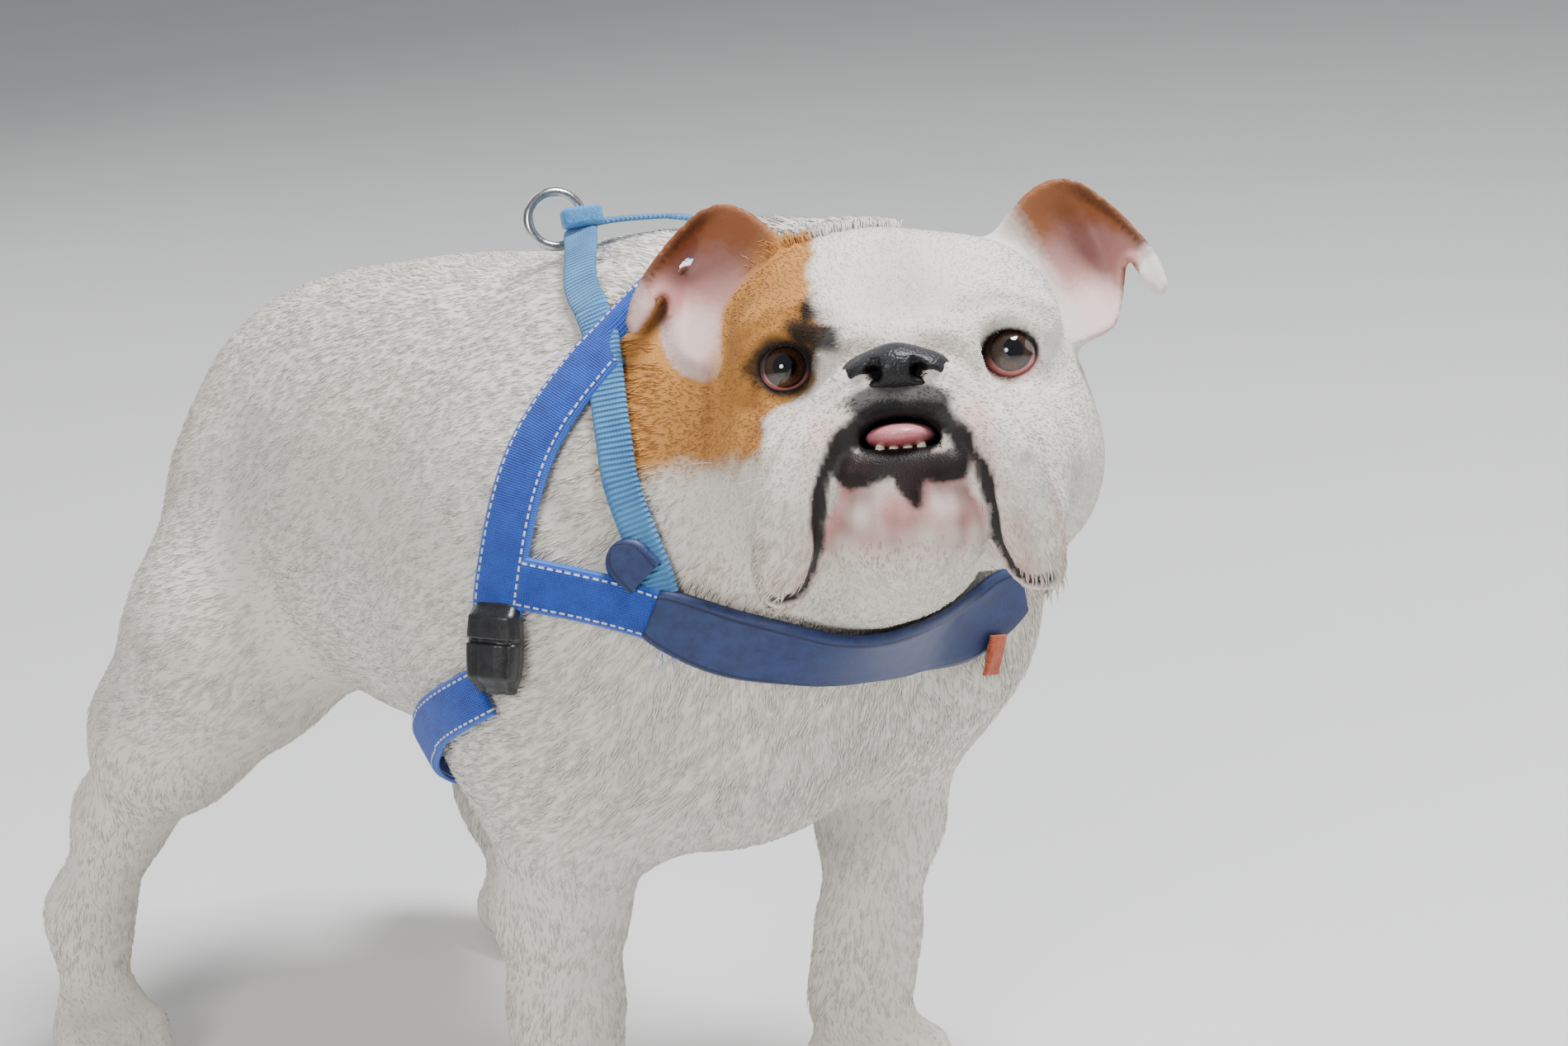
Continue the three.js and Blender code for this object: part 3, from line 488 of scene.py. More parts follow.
ear_sheets = {side: ear_sheet(side) for side in (1, -1)}
ear_trees = {
    side: BVHTree.FromPolygons([tuple(p) for p in points], [tuple(q) for q in quads])
    for side, (points, quads) in ear_sheets.items()
}
FAR_OFF = 40.0
EAR_REACH = 30.0


def ear_form(side):
    points = ear_sheets[side][0]
    low, high = points.min(axis=0) - EAR_REACH, points.max(axis=0) + EAR_REACH
    tree = ear_trees[side]

    def form(p):
        d = np.full(len(p), FAR_OFF)
        near = np.where(np.all((p > low) & (p < high), axis=1))[0]
        d[near] = [tree.find_nearest(Vector(p[n]))[3] - EAR_THICK / 2 for n in near]
        return d

    return form


ears = [ear_form(1), ear_form(-1)]
FLEWS = [
    [
        (s * 17, -35, -21, 8.5), (s * 31, -34, -35, 10.5), (s * 39, -32, -50, 12.5),
        (s * 43, -26, -63, 13.0), (s * 46, -19, -75, 10.5), (s * 48, -17, -81, 7.5),
    ]
    for s in (1, -1)
]
LID = 2.4
eye_pits = pair(lambda s: egg((s * EYE_APART, -1, 1), (9.4, 10, 7.6)))
lids = pair(lambda s: egg(eye_centre(s), (EYE_R + LID,) * 3))


def flews(p):
    """The thick sides of the upper lip, whose lower ends hang free of the throat."""
    return np.minimum(*[limb(f, 8)(p) for f in FLEWS])


def face_form(p):
    """The head with its folds, lids and mouth, in its own frame."""
    d = fuse(4, head_form, *lids)(p)
    d = soft_min(d, flews(p), 3.0)
    for fold in FACE_FOLDS:
        d = d + fold(p)
    d = d + PHILTRUM(p)
    jaw = jaw_form(p)
    for fold in CHIN_FOLDS:
        jaw = jaw + fold(p)
    d = -soft_min(-d, mouth_room(p), 4)
    d = soft_min(d, jaw, 2.0)
    return carve(1.2, lambda q: d, *eye_pits)(p)


def under_coat(p):
    """The whole skin: negative inside, in millimetres."""
    q = into_head(p)
    front = np.all(np.abs(q - (0, 20, -10)) < (110, 110, 110), axis=1)
    head = np.full(len(p), FAR_OFF * 3)
    head[front] = face_form(q[front])
    head[~front] = head_bare(q[~front])
    d = soft_min(head, neck(p), 20)
    hanging = flews(q[front])
    for groove in LIP_CREASES:
        hanging = hanging + groove(q[front])
    d[front] = soft_min(d[front], hanging, 2.5)
    legs = (
        (FORE_RIGHT, "forepaw_right", 20, None),
        (FORE_LEFT, "forepaw_left", 20, None),
        (HIND_RIGHT, "hindpaw_right", 24, hock_right),
        (HIND_LEFT, "hindpaw_left", 24, hock_left),
    )
    d = soft_min(d, trunk(p), 30)
    for joints, foot, soft, hock in legs:
        leg = limb(joints, soft)(p)
        if hock:
            leg = soft_min(leg, hock(p), 12)
        d = soft_min(d, soft_min(leg, paw(foot)(p), 12), 26)
    d = soft_min(d, tail(p), 14)
    for fold in NECK_FOLDS:
        d = d + fold(p)
    for ear in ears:
        d = soft_min(d, ear(p), 7)
    return d


COAT_DEPTH = 1.1
SOLE_LIFT = 0.25


def skin_level(p):
    """The surface that the hair grows from, cut flat just above the floor."""
    return np.maximum(under_coat(p) + COAT_DEPTH, SOLE_LIFT - p[:, 2])


def grid_lines(stops):
    """Lines along one axis: each stretch is (start, end, spacing)."""
    lines = [np.array([stops[0][0]])]
    for start, end, step in stops:
        count = max(1, int(round((end - start) / step)))
        lines.append(np.linspace(start, end, count + 1)[1:])
    return np.concatenate(lines)


CORNERS = [(i, j, k) for i in (0, 1) for j in (0, 1) for k in (0, 1)]
EDGES = [(a, b) for a in range(8) for b in (a | 1, a | 2, a | 4) if b != a]


def draw_surface(form, xs, ys, zs, near=13.0, skip=4):
    """A closed mesh where the form is zero: a corner in each cell that the surface crosses."""
    shape = (len(xs), len(ys), len(zs))
    coarse = [np.unique(np.append(np.arange(0, n, skip), n - 1)) for n in shape]
    cx, cy, cz = (axis[c] for axis, c in zip((xs, ys, zs), coarse))
    mesh = np.stack(np.meshgrid(cx, cy, cz, indexing="ij"), -1).reshape(-1, 3)
    rough = form(mesh).reshape(len(cx), len(cy), len(cz))
    for axis, (fine, few) in enumerate(zip((xs, ys, zs), (cx, cy, cz))):
        i = np.clip(np.searchsorted(few, fine, side="right") - 1, 0, len(few) - 2)
        t = (fine - few[i]) / (few[i + 1] - few[i])
        t = t.reshape([-1 if a == axis else 1 for a in range(3)])
        rough = np.take(rough, i, axis) * (1 - t) + np.take(rough, i + 1, axis) * t
    value = rough
    close = np.argwhere(np.abs(rough) < near)
    places = np.stack([xs[close[:, 0]], ys[close[:, 1]], zs[close[:, 2]]], -1)
    value[tuple(close.T)] = form(places)
    for axis in range(3):
        for end in (0, -1):
            edge = [slice(None)] * 3
            edge[axis] = end
            value[tuple(edge)] = np.maximum(value[tuple(edge)], 1.0)
    inside = value < 0
    corner = [
        inside[i : shape[0] - 1 + i, j : shape[1] - 1 + j, k : shape[2] - 1 + k]
        for i, j, k in CORNERS
    ]
    total = np.sum(corner, axis=0)
    cells = np.argwhere((total > 0) & (total < 8))
    number = np.full([n - 1 for n in shape], -1)
    number[tuple(cells.T)] = np.arange(len(cells))
    v = [value[tuple((cells + c).T)] for c in np.array(CORNERS)]
    mean = np.zeros((len(cells), 3))
    count = np.zeros(len(cells))
    for a, b in EDGES:
        crosses = (v[a] < 0) != (v[b] < 0)
        t = np.where(crosses, v[a] / np.where(crosses, v[a] - v[b], 1), 0)
        ca, cb = np.array(CORNERS[a]), np.array(CORNERS[b])
        mean += np.where(crosses[:, None], ca + t[:, None] * (cb - ca), 0)
        count += crosses
    mean /= count[:, None]
    points = np.stack(
        [
            axis[cells[:, n]] + mean[:, n] * (axis[cells[:, n] + 1] - axis[cells[:, n]])
            for n, axis in enumerate((xs, ys, zs))
        ],
        -1,
    )
    quads = []
    for axis in range(3):
        u, w = (axis + 1) % 3, (axis + 2) % 3
        here = np.take(inside, range(shape[axis] - 1), axis)
        there = np.take(inside, range(1, shape[axis]), axis)
        found = np.argwhere(here != there)
        found = found[(found[:, u] > 0) & (found[:, w] > 0)]
        ring = []
        for du, dw in ((1, 1), (0, 1), (0, 0), (1, 0)):
            cell = found.copy()
            cell[:, u] -= du
            cell[:, w] -= dw
            ring.append(number[tuple(cell.T)])
        ring = np.stack(ring, -1)
        out = here[tuple(found.T)]
        quads.append(np.where(out[:, None], ring, ring[:, ::-1]))
    return points, np.concatenate(quads)


def slope_of(form, p, h=0.35):
    base = form(p)
    steps = [form(p + np.eye(3)[a] * h) - base for a in range(3)]
    return base, np.stack(steps, -1) / h


def settle(form, p, level=0.0, reach=3.0, rounds=2):
    """Moves points to where the form has this level, by no more than reach."""
    start = p.copy()
    for _ in range(rounds):
        d, g = slope_of(form, p)
        step = (d - level) / np.maximum(np.einsum("ij,ij->i", g, g), 0.15)
        p = p - g * step[:, None]
    moved = p - start
    far = lengths(moved)[:, None]
    return start + moved * np.minimum(1, reach / np.maximum(far, 1e-9))


# Folds of the face and ridges of the chin, laid on the surface they crease
def plain_face(p):
    return soft_min(fuse(4, head_form, *lids)(p), flews(p), 3.0)


def crease(points, width, depth, form=plain_face):
    """A furrow whose path is first laid on the face."""
    path = settle(form, along_curve(np.array(points, float), np.linspace(0, 1, 9)), 0.0, 12, 4)
    return furrow(path, width * 1.15, depth * 1.5)


FACE_FOLDS = [crease([(0, -20, 30), (0, -2, 52), (0, 20, 58)], 6, 2.4)]
CHIN_FOLDS = []
LIP_CREASES = [furrow(mirrored(LIP_LINE, s), 2.0, 4.0) for s in (1, -1)]
for s in (1, -1):
    rope = [(12, -37, 3), (27, -30, -3), (39, -27, -15), (47, -32, -30), (54, -32, -46)]
    rope += [(60, -25, -62), (60, -17, -78)]
    pouch = [(30, -17, -14), (40, -8, -20), (52, -2, -21)]
    forehead = [(3, -12, 20), (5, -2, 44)]
    ridge = [(14, -38, -6), (24, -35, -13), (33, -36, -25), (40, -40, -38), (46, -39, -54)]
    under_eye = [(27, -20, -11), (38, -12, -15), (50, -5, -15), (60, 6, -8)]
    cheek_line = [(60, -6, -20), (66, -4, -38), (67, 2, -60)]
    over_eye = [(18, -20, 8), (28, -12, 18), (42, -6, 20), (56, 3, 14)]
    FACE_FOLDS += [
        crease(mirrored(LIP_LINE, s), 2.0, 4.0),
        crease(mirrored(rope, s), 4.2, 4.2),
        crease(mirrored(ridge, s), 4.5, -2.2),
        crease(mirrored(under_eye, s), 2.8, 2.4),
        crease(mirrored(pouch, s), 2.4, 1.4),
        crease(mirrored(over_eye, s), 3.0, 2.2),
        crease(mirrored(cheek_line, s), 4.5, 2.4),
        crease(mirrored(forehead, s), 3.0, 1.0),
    ]
    CHIN_FOLDS += [
        crease(mirrored(path, s), 2.2, 2.2, jaw_form)
        for path in (
            [(6, -47, -55), (5, -46, -70), (0, -42, -79)],
            [(14, -45, -52), (15, -44, -66), (9, -40, -78)],
            [(22, -42, -52), (23, -38, -68), (18, -34, -80)],
        )
    ]


def mesh_piece(name, points, faces):
    """A piece of the dog from its corners, in millimetres, and its faces."""
    data = bpy.data.meshes.new(name)
    data.vertices.add(len(points))
    data.vertices.foreach_set("co", to_scene(points).ravel())
    data.loops.add(faces.size)
    data.loops.foreach_set("vertex_index", faces.ravel())
    data.polygons.add(len(faces))
    data.polygons.foreach_set("loop_start", np.arange(0, faces.size, faces.shape[1]))
    data.update(calc_edges=True)
    data.polygons.foreach_set("use_smooth", [True] * len(data.polygons))
    made = bpy.data.objects.new(name, data)
    bpy.context.collection.objects.link(made)
    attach(made, "root")
    return made


FINE = 1.95
BROAD = 4.6
skin_x = grid_lines([(-168, -80, BROAD), (-80, 104, FINE), (104, 168, BROAD)])
skin_y = grid_lines([(-232, -62, FINE), (-62, 330, BROAD)])
skin_z = grid_lines([(-3, 56, 3.2), (56, 246, BROAD), (246, 452, FINE)])
skin_points, skin_faces = draw_surface(skin_level, skin_x, skin_y, skin_z)


def largest_part(points, faces):
    """Keeps only the faces that hang together with the largest part."""
    label = np.arange(len(points))
    while True:
        low = label[faces].min(axis=1)
        lower = label.copy()
        np.minimum.at(lower, faces.ravel(), np.repeat(low, faces.shape[1]))
        lower = lower[lower]
        if np.array_equal(lower, label):
            break
        label = lower
    names, counts = np.unique(label[faces[:, 0]], return_counts=True)
    main = names[counts.argmax()]
    kept = faces[label[faces[:, 0]] == main]
    used = np.unique(kept)
    renumber = np.full(len(points), -1)
    renumber[used] = np.arange(len(used))
    return points[used], renumber[kept]


skin_points, skin_faces = largest_part(skin_points, skin_faces)
skin_points = settle(skin_level, skin_points)
skin = mesh_piece("bulldog_skin", skin_points, skin_faces)

# Markings
# White hair with a tan patch round the right eye, red-brown ears with pink insides, and bare
# dark lips; the same sums colour the skin and every tuft that grows from it.
WHITE = np.array([0.80, 0.77, 0.72])
CREAM = np.array([0.74, 0.66, 0.53])
TAN = np.array([0.52, 0.235, 0.06])
BROWN = np.array([0.16, 0.05, 0.018])
BLACK = np.array([0.007, 0.006, 0.0065])
PINK = np.array([0.60, 0.29, 0.27])
MAUVE = np.array([0.42, 0.22, 0.20])
EAR_RED = np.array([0.26, 0.095, 0.035])
PALE_PINK = np.array([0.74, 0.55, 0.52])
GREY = np.array([0.018, 0.016, 0.018])
EAR_FADE = 3.0
FLEW_SPOTS = [(21, -36, -23, 2.2), (25, -36, -28, 1.8), (36, -34, -46, 1.5), (-40, -34, -52, 1.6)]


def ripple(p, scale, seed=0.0):
    """Smooth wandering between -1 and 1, from a few crossed waves."""
    total = np.zeros(len(p))
    for n, way in enumerate(((1, 0.6, -0.4), (-0.5, 1, 0.7), (0.3, -0.8, 1), (0.9, 0.9, 0.5))):
        turn = np.array(way) * (1 + 0.37 * n)
        total += np.sin(p @ turn / scale + seed + 1.7 * n) / (1 + 0.4 * n)
    return total / 2.6


def smooth(x, low, high):
    t = np.clip((x - low) / (high - low), 0, 1)
    return t * t * (3 - 2 * t)


def blend(base, colour, amount):
    return base + (colour - base) * amount[:, None]


def ear_parts(p):
    """How far each point is onto an ear, whether in its hollow, and where on its sheet."""
    on = np.zeros(len(p))
    inner = np.zeros(len(p))
    part = np.zeros((len(p), 2))
    for side in (1, -1):
        points, _ = ear_sheets[side]
        tree = ear_trees[side]
        low, high = points.min(axis=0) - 6, points.max(axis=0) + 6
        near = np.where(np.all((p > low) & (p < high), axis=1))[0]
        for n in near:
            spot, normal, index, away = tree.find_nearest(Vector(p[n]))
            row, column = divmod(index, EAR_ACROSS)
            hold = max(0.0, 1 - max(0.0, away - EAR_THICK) / EAR_FADE)
            if hold <= on[n]:
                continue
            on[n] = hold
            face = side * (Vector(p[n]) - spot).dot(normal)
            inner[n] = 1.0 if face > 0 else 0.0
            part[n] = (row / (EAR_ALONG - 1), column / (EAR_ACROSS - 1))
    return on, inner, part


def ground_marks(p, near_head):
    """White to cream hair: a cream throat and rump, darker cream toes next to the floor and a pink
    groin.
    """
    fine = ripple(p, 3.1, 1.0)
    broad = ripple(p, 46.0, 2.0)
    side, back, height = p.T
    colour = np.tile(WHITE, (len(p), 1))
    colour = blend(colour, CREAM, np.clip(0.16 + 0.24 * broad + 0.05 * fine, 0, 0.5))
    low_face = ~near_head | (into_head(p)[:, 2] < -60)
    throat = smooth(-back, 20, 110) * smooth(height, 180, 260) * low_face
    colour = blend(colour, CREAM, 0.42 * throat)
    rump = smooth(back, 220, 290) * smooth(height, 150, 240)
    colour = blend(colour, CREAM * 0.9, 0.4 * rump * np.clip(0.5 + ripple(p, 20), 0, 1))
    groin = smooth(205 - height, 0, 26) * smooth(back, 60, 110) * smooth(64 - abs(side), 0, 30)
    colour = blend(colour, PALE_PINK * 0.92, 0.75 * groin)
    # darker cream on the feet, strongest next to the floor
    return blend(colour, CREAM * 0.82, 0.5 * smooth(14 - height, 0, 10))


def tan_marks(q, colour, near_head, wander):
    """The tan patch, with black round the right eye and a brown streak under it."""
    x, y, z = q.T
    inward = -30 - 19 * smooth(-z, 5, 18) + 5 * smooth(z, 0, 12) * smooth(22 - z, 0, 12)
    tan = smooth(inward + 0.8 * wander - x, -1.5, 3)
    tan *= smooth(z + 35 + wander + 0.1 * (x + 60), -6, 7)
    tan *= smooth(58 + wander - y, 0, 10) * near_head
    shade = np.clip(0.5 + 0.4 * ripple(q, 12, 3), 0, 1)
    colour = blend(colour, TAN * (0.82 + 0.36 * shade)[:, None], tan)
    front = smooth(30 - y, 0, 14) * near_head
    eye = q - eye_centre(-1)
    ring = np.hypot(eye[:, 0] / 1.15, eye[:, 2])
    dark = smooth(13.6 + 0.8 * wander - ring, -1.5, 5)
    inner_streak = bone((-24, -28, 7), (-36, -8, 13), 4.0, 6.0)(q)
    upper_streak = bone((-31, -9, 27), (-33, -8, 14), 1.5, 5)(q)
    streaks = np.minimum(inner_streak, upper_streak)
    dark = np.maximum(dark, smooth(2.0 + wander - streaks, -1.5, 4))
    corner = bone((-52, 0, 3), (-60, 8, 2), 5, 1.5)(q)
    dark = np.maximum(dark, smooth(1.5 + 0.6 * wander - corner, -1.5, 3) * 0.85)
    colour = blend(colour, BLACK, 0.95 * dark * front)
    tear = np.minimum(
        bone((-57, 2, -3), (-54, -5, -15), 3.5, 3.5)(q),
        bone((-54, -5, -15), (-50, -24, -27), 3.5, 1.5)(q),
    )
    colour = blend(colour, BROWN, 0.7 * smooth(1.2 + 0.7 * wander - tear, -1.5, 4.5) * front)
    edge = smooth(4 - np.abs(x + 72 - 0.06 * (z - 10)), 0, 4) * smooth(y, 14, 24)
    return blend(colour, BROWN, 0.5 * edge * near_head * tan)


def lid_marks(p, q, colour, near_head, wander):
    """Dark bare rims round both eyes, and pink below the left one."""
    front = smooth(30 - q[:, 1], 0, 14) * near_head
    fine = ripple(p, 3.1, 1.0)
    bare = np.zeros(len(q))
    for side, pit in zip((1, -1), eye_pits):
        rim = pit(q)
        colour = blend(colour, BLACK + 0.01, smooth(3.0 + 0.25 * fine - rim, 0, 1.8) * front)
        bare = np.maximum(bare, smooth(2.2 - rim, 0, 1.5) * front)
        if side == 1:
            halo = smooth(6.5 + 0.4 * wander - rim, 0, 5) * smooth(2 - q[:, 2], -2, 8)
            colour = blend(colour, PINK * 0.8, 0.4 * halo * front)
    return colour, bare


def from_line(line, q):
    """How far each point is from a line of joints."""
    return np.min([bone(a, b, 0, 0)(q) for a, b in zip(line, line[1:])], axis=0)


def muzzle_marks(q, colour, bare, near_head, wander):
    """Dark hair under the nose, pink flews and chin, the black edge of the lips, and painted shade
    in the mouth and the folds.
    """
    x, y, z = q.T
    front = smooth(-y, 8, 24) * near_head
    under_nose = lengths((q - (0, -38, -19)) / (21, 14, 7.5)) - 1
    grey = smooth(0.1 + 0.02 * wander - under_nose, 0, 0.25) * front
    colour = blend(colour, GREY, 0.9 * grey)
    flew = smooth(11 - np.abs(np.abs(x) - 26 + 0.24 * (z + 25)), 0, 9) * smooth(-z, 14, 26)
    pinkness = np.clip(0.42 + 0.5 * ripple(q, 6, 5), 0, 1)
    colour = blend(colour, PINK * 1.15, 0.7 * flew * pinkness * front)
    jaw = jaw_form(q) + COAT_DEPTH
    head = fuse(4, head_form, *lids)(q) + COAT_DEPTH
    chin = smooth(1.2 + head - jaw, 0, 2) * near_head * smooth(22 - y, 0, 14)
    chin *= smooth(z, -80, -62)
    mottle = np.clip(0.6 + 0.55 * ripple(q, 4.2, 2), 0, 1)
    chin_pink = PINK * (0.8 + 0.3 * ripple(q, 3, 4))[:, None]
    colour = blend(colour, chin_pink, 0.95 * chin * np.clip(mottle + 0.2, 0, 1))
    bare = np.maximum(bare, 0.85 * chin)

    even = np.stack([np.abs(x), y, z], -1)
    lips = smooth(3.6 + 0.35 * wander - from_line(LIP_LINE, even), -0.4, 1.4)
    arch = smooth(4.6 + 0.6 * wander - from_line(LIP_ARCH, even), -0.5, 1.6)
    lips = np.maximum(lips, arch) * near_head
    lower_lip = bone((-19, -42, -43), (19, -42, -43), 5.5, 5.5)(q)
    blob = bone((2, -44, -48), (4, -44, -56), 6, 3)(q)
    lower_lip = np.minimum(lower_lip, blob) - 0.55 * wander
    lips = np.maximum(lips, smooth(1.5 - lower_lip, 0, 2) * front)
    colour = blend(colour, BLACK * 0.8, 0.97 * lips)
    bare = np.maximum(bare, lips)
    for *spot, radius in FLEW_SPOTS:
        away = lengths(q - spot) - radius * 2
        colour = blend(colour, BLACK + 0.05, 0.75 * smooth(1.2 - away, 0, 2))
    behind_nose = smooth(1 - lengths((q - (0, -30, -7.5)) / (17, 13, 9)), 0, 0.1)
    rim = smooth(3.4 + 0.3 * wander - mouth_room(q), 0, 1.2)
    colour = blend(colour, BLACK * 0.8, np.maximum(rim, behind_nose) * front)
    # painted shade: the inside of the mouth is painted a nearly black pink
    inside = smooth(-1.6 - mouth_room(q), 0, 1.5) * front
    colour = blend(colour, PINK * 0.16, inside)
    bare = np.maximum(bare, inside)

    # the depths of the folds are darker and pinker: pink skin showing through thin hair, with
    # painted shade in the creases
    depth = np.sum([np.maximum(fold(q), 0) for fold in FACE_FOLDS + CHIN_FOLDS], axis=0)
    depth = np.clip(0.085 * depth, 0, 0.42) * near_head * (1 - lips)
    return blend(colour, colour * (0.66, 0.44, 0.40), depth), bare


def ear_marks(p, colour, bare, left):
    """Red-brown ears with a mauve-pink hollow, dark rims and pale tips and lobes."""
    on, inner, part = ear_parts(p)
    t, v = part.T
    fine = ripple(p, 3.1, 1.0)
    back = EAR_RED * (0.9 + 0.5 * np.clip(ripple(p, 5), 0, 1))[:, None]
    pinkness = smooth(v + 0.25 * ripple(p, 6), 0.45, 0.9)
    hollow = blend(np.tile(MAUVE, (len(p), 1)), PINK * 0.85, pinkness)
    hollow = blend(hollow, PALE_PINK, smooth(v, 0.55, 0.85) * smooth(0.5 - t, 0, 0.3))
    rim = smooth(0.42 + 0.06 * fine - v, 0, 0.3) * smooth(t, 0.02, 0.2) * smooth(0.9 - t, 0, 0.3)
    hollow = blend(hollow, EAR_RED * 1.1, 0.95 * rim)
    edge = smooth(0.12 - v, 0, 0.12) * smooth(t, 0.3, 0.5)
    hollow = blend(hollow, BROWN * 0.5, 0.8 * edge)
    shell = np.where(inner[:, None] > 0, hollow, back)
    tip = smooth(t + 0.05 * fine, 0.74, 0.84)
    tip_colour = np.where(left[:, None], WHITE * 0.95, PALE_PINK * 0.8)
    shell = blend(shell, tip_colour, tip * np.where(left, 1, 0.6))
    lobe = smooth(v + 0.1 * fine, 0.82, 0.97) * smooth(0.5 - t, 0, 0.15)
    shell = blend(shell, PALE_PINK * 0.95, lobe)
    hold = smooth(on, 0.35, 0.9) * smooth(t, 0.08, 0.2)
    return blend(colour, shell, hold), np.maximum(bare, hold * inner * 0.85)


def marking(p):
    """The colour of the dog at each point, and how bare the skin is there."""
    q = into_head(p)
    x, y, z = q.T
    near_head = (np.abs(x) < 112) & (y > -70) & (y < 96) & (z > -115) & (z < 84)
    wander = ripple(q, 7.0) * 3.0 + ripple(q, 2.6, 4.0) * 1.6
    colour = ground_marks(p, near_head)
    colour = tan_marks(q, colour, near_head, wander)
    colour, bare = lid_marks(p, q, colour, near_head, wander)
    colour, bare = muzzle_marks(q, colour, bare, near_head, wander)
    colour, bare = ear_marks(p, colour, bare, x > 0)
    bare = np.maximum(bare, smooth(3 - p[:, 2], 0, 2))
    return np.clip(colour, 0.004, 1), np.clip(bare, 0, 1)


def paint(piece, colours, name="marking"):
    layer = piece.data.color_attributes.new(name, "FLOAT_COLOR", "POINT")
    full = np.ones((len(colours), 4))
    full[:, :3] = colours
    layer.data.foreach_set("color", full.ravel())


def painted(place, name="marking", output=0):
    """Reads a painted colour in a material."""
    return place.node("ShaderNodeAttribute", {"attribute_name": name}, None, output)


skin_colour, skin_bare = marking(skin_points)
paint(skin, skin_colour)
paint(skin, np.repeat(skin_bare[:, None], 3, axis=1), "bareness")
NODES = ["torso", "neck", "head", "lower_jaw", "tail", "ear_right", "ear_left"]
for end in ("fore", "hind"):
    for side in ("right", "left"):
        NODES += [f"{end}leg_{side}", f"{end}paw_{side}"]
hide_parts(*NODES)

skin_finish, shader, place = finish_named(
    "haired_skin", roughness=0.7, sheen=0.02, subsurface=0.04, specular=0.16
)
bareness = painted(place, "bareness", 2)
hair = noise(place, 700, 2, 0.7) * 0.6 + noise(place, 260, 3) * 0.4
pores = noise(place, 1500, 2)
feed(shader, "Base Color", painted(place))
feed(shader, "Roughness", 0.74 - bareness * 0.36)
feed(shader, "Normal", raised(place, hair * (1 - bareness) + pores * bareness * 0.3, 0.0008))
skin.data.materials.append(skin_finish)

bpy.context.view_layer.objects.active = skin
skin.select_set(True)
skin.data.uv_layers.new(name="OFBake")
bpy.ops.object.mode_set(mode="EDIT")
bpy.ops.mesh.select_all(action="SELECT")
bpy.ops.uv.smart_project(angle_limit=radians(66), island_margin=0.001)
bpy.ops.object.mode_set(mode="OBJECT")
skin.select_set(False)

# Coat
# Short white hair in small locks that lie back along the body, finest on the face and feet,
# longest on the neck and the back of the thighs, and standing up in a crest at the nape.
chance = np.random.default_rng(11)
TUFTS = 118000
TUFTS_IN_PIECE = 19500
PATCH = 0.0015
# a lock's root and middle have three corners each, joined by these sides, and its tip has one
ROUND = [(n, (n + 1) % 3) for n in range(3)]
LOCK_FACES = [face for a, b in ROUND for face in ((a, b, b + 3), (a, b + 3, a + 3))]
LOCK_FACES = np.array(LOCK_FACES + [(a + 3, b + 3, 6) for a, b in ROUND] + [(0, 2, 1)])
LOCK_MAP = np.array([(-1, -1), (1, -1), (0, -1), (-1, 0.5), (1, 0.5), (0, 0), (0, 1)])

skin_mesh = skin.data
count = len(skin_mesh.polygons)
quad_corners = np.empty(count * 4, int)
skin_mesh.loops.foreach_get("vertex_index", quad_corners)
quad_corners = quad_corners.reshape(count, 4)
quad_uv = np.empty(count * 8)
skin_mesh.uv_layers["OFBake"].data.foreach_get("uv", quad_uv)
quad_uv = quad_uv.reshape(count, 4, 2)
quad_points = skin_points[quad_corners]
spread = np.cross(
    quad_points[:, 2] - quad_points[:, 0],
    quad_points[:, 3] - quad_points[:, 1],
)
quad_area = lengths(spread) / 2

coat_finish, shader, place = finish_named("short_hair", roughness=0.62, sheen=0.05, specular=0.25)
feed(shader, "Base Color", painted(place))
feed(shader, "Roughness", noise(place, 400) * 0.2 + 0.52)


def unit(v):
    return v / np.maximum(lengths(v), 1e-9)[:, None]


def region(p):
    """Each point in the head's frame, and how much it belongs to head, legs and paws."""
    q = into_head(p)
    head = smooth(0.14 - (lengths((q - (0, 18, -14)) / (92, 84, 88)) - 1), 0, 0.2)
    low = smooth(196 - p[:, 2], 0, 40)
    feet = smooth(54 - p[:, 2], 0, 16)
    return q, head, low, feet


def hair_length(p):
    """How long the locks are at each place, in millimetres."""
    q, head, low, feet = region(p)
    length = 7.0 + 0.8 * ripple(p, 30)
    length += 2.4 * smooth(-p[:, 1], 20, 90) * (1 - low)
    length += 2.4 * smooth(p[:, 1], 215, 262) * smooth(p[:, 2], 120, 200)
    length = length * (1 - low) + 5.6 * low
    length = length * (1 - feet) + 3.4 * feet
    face = 2.2 + 1.4 * smooth(q[:, 1], 6, 50) + 0.8 * smooth(-q[:, 2], 40, 90)
    return length * (1 - head) + face * head


def hair_way(p):
    """Which way the hair lies: back and down, along the legs, and away from the nose."""
    q, head, low, feet = region(p)
    back = np.tile((0.0, 1.0, -0.42), (len(p), 1))
    throat = smooth(-p[:, 1], 40, 110) * smooth(330 - p[:, 2], 0, 50)
    back += throat[:, None] * (0.0, -0.6, -1.0)
    back[:, 0] += 0.5 * np.sign(p[:, 0]) * smooth(abs(p[:, 0]), 20, 60)
    down = np.tile((0.0, 0.22, -1.0), (len(p), 1))
    forth = np.tile((0.0, -0.8, -0.6), (len(p), 1))
    way = back * (1 - low[:, None]) + down * low[:, None]
    way = way * (1 - feet[:, None]) + forth * feet[:, None]
    from_nose = unit(q - (0, -52, -8)) + (0.0, 0.0, -0.25)
    return unit(way * (1 - head[:, None]) + (from_nose @ HEAD_AXES.T) * head[:, None])


